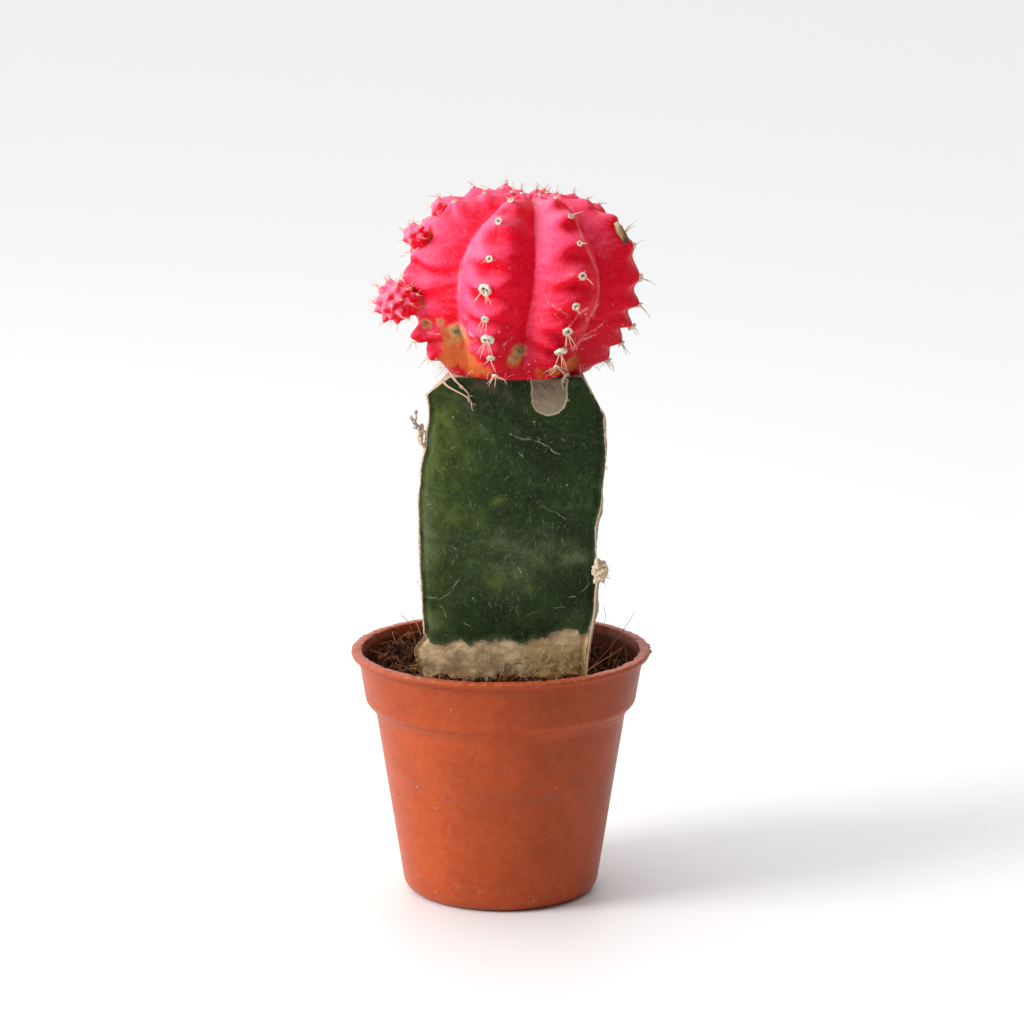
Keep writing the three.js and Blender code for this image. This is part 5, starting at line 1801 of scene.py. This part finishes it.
def young_skin(look):
    """Brighter, pinker skin with paler tips, and painted light: pink where it faces the light, deep red
    elsewhere.
    """
    finish = Finish("Young head skin")
    tip = finish.mark("tip")
    blotches = finish.noise(1.6, 3, 0.6)
    # Painted light and shade: pink on the sides that face the light, deep red on the others.
    bleached = finish.uneven("bleached", blotches, 0.6)
    colour = finish.mix(finish.band(bleached, -0.1, 0.6), look.shade, srgb(248, 108, 140))
    colour = finish.tint(colour, finish.band(tip, 0.2, 0.95), 0.5, srgb(255, 150, 160))
    flecks = finish.specks(0.9, 0.16)
    colour = finish.tint(colour, flecks, 0.5, srgb(255, 210, 200))
    neck = finish.frayed(finish.mark("neck_mm"), 0.7, 1.2, 3)
    dried = finish.mix(finish.noise(0.5, 4, 0.7), srgb(150, 84, 40), srgb(214, 150, 90))
    colour = finish.tint(colour, finish.band(neck, 0.3, -0.3), 0.85, dried)
    finish.set(Base_Color=colour, Roughness=0.4, Specular_IOR_Level=0.25)
    finish.set(Normal=finish.bump(finish.noise(0.25, 2), 0.04))
    finish.set(Subsurface_Weight=0.45, Subsurface_Scale=0.0016, Subsurface_Radius=(1.0, 0.18, 0.2))
    return finish.material


def tubercle_ways(count):
    """The ways that an offset's tubercles point, winding from its crown down by the golden angle."""
    i = np.arange(count)
    height = 1 - 1.8 * (i + 0.5) / count
    turn = i * math.pi * (3 - math.sqrt(5))
    ring = np.sqrt(1 - height**2)
    return np.column_stack([ring * np.cos(turn), ring * np.sin(turn), height])


def crown_turn(crown):
    """The matrix that turns +Z to the crown's way."""
    return np.array(Vector((0, 0, 1)).rotation_difference(Vector(crown)).to_matrix())


def parent_way(centre):
    """The way from an offset to the head that it grows on."""
    parent = (*HEAD_AT[:2], np.clip(centre[2], HEAD_AT[2] - 4, HEAD_AT[2] + 8))
    return unit(np.array(parent) - centre)


# An offset's core as a share of its radius, how it is drawn out along its crown, and where its neck starts.
YOUNG_CORE = 0.86
YOUNG_STRETCH = (1, 1, 1.07)
NECK_REACH = 0.72


def young_body(young, ways, tall):
    """An offset's form, how near each point lies to a tubercle's tip, and how far it lies from the neck."""
    radius, centre = young["radius"], np.array(young["at"])
    form, faces = ball(1.0, 6)
    spacing = 1.85 / math.sqrt(len(ways))
    nearness = np.arccos(np.clip(form @ ways.T, -1, 1)) / spacing
    cones = np.clip(1 - nearness, 0, 1) ** 1.25
    rise = (cones * tall).max(axis=1)
    shape = form * (YOUNG_CORE + rise)[:, None] * YOUNG_STRETCH
    points = (shape * radius) @ crown_turn(young["crown"]).T + centre
    uneven = noise(points, radius * 0.5, young["seed"], 2)[:, None]
    points += 0.06 * radius * unit(points - centre) * uneven
    # The side towards the parent draws out into a neck.
    inwards = parent_way(centre)
    reach = (points - centre) @ inwards
    draw = band(reach, 0.62 * radius, radius)
    away = (points - centre) - reach[:, None] * inwards
    points = points - away * (draw * 0.45)[:, None] + inwards * (draw * radius * 1.3)[:, None]
    return (points, faces), (cones**2.5).max(axis=1), NECK_REACH * radius - reach


def build_young_heads(look):
    """Offsets: small balls of pointed tubercles on short dry necks."""
    skin = young_skin(look)
    strands = Strands(53)
    random = strands.random
    forms, tips, necks, dots = [], [], [], []
    for young in YOUNG_HEADS:
        radius, centre = young["radius"], np.array(young["at"])
        ways = tubercle_ways(young["tubercles"])
        ways = unit(ways + random.normal(scale=0.05, size=ways.shape))
        tall = 0.27 * (0.55 + 0.45 * band(1 - ways[:, 2], 0.0, 0.5)) * random.uniform(0.8, 1.2, len(ways))
        form, tip, neck = young_body(young, ways, tall)
        forms.append(form)
        tips.append(tip)
        necks.append(neck)
        turn = crown_turn(young["crown"])
        for way, height in zip(ways, tall):
            out = unit(turn @ way)
            at = centre + turn @ (way * (YOUNG_CORE + height) * YOUNG_STRETCH) * radius
            if parent_way(centre) @ out > NECK_REACH:
                continue
            dots.append((at, out, 0.055 * radius * random.uniform(0.7, 1.2)))
            crowned = way[2] > 0.62
            for _ in range(5 if crowned else 3):
                lean = out + random.normal(scale=0.45, size=3)
                length = random.uniform(0.3, 0.8) * (1.2 + 0.35 * radius)
                path = strands.curved(at, lean, length, 0.0, 0.6, 6)
                strands.line(path, 0.24 if crowned else 0.18, 0.07, random.uniform(0, 0.5))
    marks = {"tip": np.concatenate(tips), "neck_mm": np.concatenate(necks)}
    bodies = make_object("Young_Heads", *merged(forms), skin, marks)
    # Painted light: how far each point of the offsets faces the light.
    bleached = bodies.data.attributes.new("bleached", "FLOAT", "POINT")
    bleached.data.foreach_set("value", points_of(bodies, "normal") @ PAINTED_LIGHT_WAY)
    finish_piece(bodies, "moon_cactus_head")
    form, faces = ball(1.0, 2)
    dot = make_object("dot", form * (1, 1, 0.7) / MM, faces)
    places, ways, sizes = (np.array(values) for values in zip(*dots))
    marks = {"facing": ways, "size": sizes * MM, "spin": np.zeros(len(dots))}
    wool = make_object("Young_Areoles", places, [], marks=marks)
    grown(wool, setting_tree(), Piece=dot, Size=1.0, Material=wool_finish(look))
    remove(dot)
    finish_piece(wool, "moon_cactus_head")
    finish = strand_finish("Young spines", srgb(240, 214, 180), srgb(206, 150, 110), srgb(214, 150, 120))
    piece = strands.finished("Young_Spines", finish, thickness=look.spine_thickness / MM)
    finish_piece(piece, "moon_cactus_head")


# ---------- Stage ----------

# The stage's places are in metres.
KEY_AT = (-0.75, -0.3, 0.5)
KEY_AIM = (0, 0, 0.07)
KEY_SIZE = 0.45
KEY_COLOUR = (1.0, 0.98, 0.95)
WINDOW_WAY = (-0.6, 0.5, 0.62)
ROOM_LIGHT = (0.14, 1.36)
CAMERA_AT = (0.002075, -0.6452, 0.2055)
CAMERA_TILT = 78.226
CAMERA_LENS = 126.69


def build_stage(look):
    """A plain pale floor, soft light from the upper left and the camera."""
    finish = Finish("Pale floor")
    finish.set(Base_Color=tuple(look.floor), Roughness=0.55)
    half = 8.0 / MM
    corners = [(-half, -half, 0), (half, -half, 0), (half, half, 0), (-half, half, 0)]
    floor = make_object("Floor", corners, [(0, 1, 2, 3)], finish.material)

    light = bpy.data.lights.new("Key", "AREA")
    light.shape = "DISK"
    light.size = KEY_SIZE
    light.energy = look.key_power
    light.color = KEY_COLOUR
    lamp = bpy.data.objects.new("Key", light)
    lamp.location = KEY_AT
    lamp.rotation_euler = (Vector(KEY_AIM) - Vector(KEY_AT)).to_track_quat("-Z", "Y").to_euler()
    bpy.context.scene.collection.objects.link(lamp)
    world = bpy.data.worlds.new("Bright room")
    world.use_nodes = True
    sky = Nodes(world.node_tree)
    # The room is brightest towards the window, above and to the left, and dim behind the camera.
    way = sky.add("ShaderNodeTexCoord").outputs["Generated"]
    sockets = {0: way, 1: WINDOW_WAY}
    towards = sky.add("ShaderNodeVectorMath", sockets, operation="DOT_PRODUCT").outputs["Value"]
    background = world.node_tree.nodes["Background"]
    background.inputs["Color"].default_value = (1, 1, 1, 1)
    sky.join(background.inputs["Strength"], sky.band(towards, -0.5, 0.9, *ROOM_LIGHT))
    bpy.context.scene.world = world
    camera = bpy.data.objects.new("Camera", bpy.data.cameras.new("Camera"))
    camera.data.lens = CAMERA_LENS
    camera.data.sensor_width = 36
    camera.location = CAMERA_AT
    camera.rotation_euler = (math.radians(CAMERA_TILT), 0, 0)
    bpy.context.scene.collection.objects.link(camera)
    bpy.context.scene.camera = camera
    bpy.context.scene.view_settings.view_transform = "Standard"


# ---------- Add-on ----------


class MOONCACTUS_OT_pot(Operator):
    """Make the moulded nursery pot"""

    bl_idname = "mooncactus.pot"
    bl_label = "Pot"

    def execute(self, context):
        build_pot(context.scene.mooncactus_pot)
        return {"FINISHED"}


class MOONCACTUS_OT_rootstock(Operator):
    """Make the green stem with its cork, knots and twigs"""

    bl_idname = "mooncactus.rootstock"
    bl_label = "Rootstock"

    def execute(self, context):
        look = context.scene.mooncactus_rootstock
        build_rootstock(look)
        build_knots(look)
        build_rootstock_strands(look)
        return {"FINISHED"}


class MOONCACTUS_OT_soil(Operator):
    """Make the bed of peat with its crumbs and fibres"""

    bl_idname = "mooncactus.soil"
    bl_label = "Soil"

    def execute(self, context):
        look = context.scene.mooncactus_soil
        build_soil(look)
        build_crumbs(look)
        build_fibres(look)
        return {"FINISHED"}


class MOONCACTUS_OT_head(Operator):
    """Make the grafted head's skin and the scab on it"""

    bl_idname = "mooncactus.head"
    bl_label = "Head"

    def execute(self, context):
        build_head(context.scene.mooncactus_head)
        build_scab()
        return {"FINISHED"}


class MOONCACTUS_OT_areoles(Operator):
    """Make the woolly areoles, spines and hairs of the head"""

    bl_idname = "mooncactus.areoles"
    bl_label = "Areoles and spines"

    def execute(self, context):
        look = context.scene.mooncactus_head
        build_areoles(look)
        build_spines(look)
        return {"FINISHED"}


class MOONCACTUS_OT_young_heads(Operator):
    """Make the offsets that grow on the left"""

    bl_idname = "mooncactus.young_heads"
    bl_label = "Young heads"

    def execute(self, context):
        build_young_heads(context.scene.mooncactus_head)
        return {"FINISHED"}


class MOONCACTUS_OT_stage(Operator):
    """Set up the floor, lights and camera"""

    bl_idname = "mooncactus.stage"
    bl_label = "Stage"

    def execute(self, context):
        build_stage(context.scene.mooncactus_stage)
        return {"FINISHED"}


OPERATORS = (
    MOONCACTUS_OT_pot,
    MOONCACTUS_OT_rootstock,
    MOONCACTUS_OT_soil,
    MOONCACTUS_OT_head,
    MOONCACTUS_OT_areoles,
    MOONCACTUS_OT_young_heads,
    MOONCACTUS_OT_stage,
)
LOOKS = {
    "mooncactus_pot": PotLook,
    "mooncactus_soil": SoilLook,
    "mooncactus_rootstock": RootstockLook,
    "mooncactus_head": HeadLook,
    "mooncactus_stage": StageLook,
}


class MOONCACTUS_PT_panel(Panel):
    bl_idname = "MOONCACTUS_PT_panel"
    bl_label = "Moon cactus"
    bl_space_type = "VIEW_3D"
    bl_region_type = "UI"
    bl_category = "Moon cactus"

    def draw(self, context):
        for name, kind in LOOKS.items():
            box = self.layout.box()
            for key in kind.__annotations__:
                box.prop(getattr(context.scene, name), key)
        for operator in OPERATORS:
            self.layout.operator(operator.bl_idname)


CLASSES = (*LOOKS.values(), *OPERATORS, MOONCACTUS_PT_panel)


def register():
    for cls in CLASSES:
        bpy.utils.register_class(cls)
    for name, kind in LOOKS.items():
        setattr(bpy.types.Scene, name, PointerProperty(type=kind))


def unregister():
    for name in LOOKS:
        delattr(bpy.types.Scene, name)
    for cls in reversed(CLASSES):
        bpy.utils.unregister_class(cls)


def main():
    register()
    for operator in OPERATORS:
        group, name = operator.bl_idname.split(".")
        getattr(getattr(bpy.ops, group), name)()


if __name__ == "__main__":
    main()
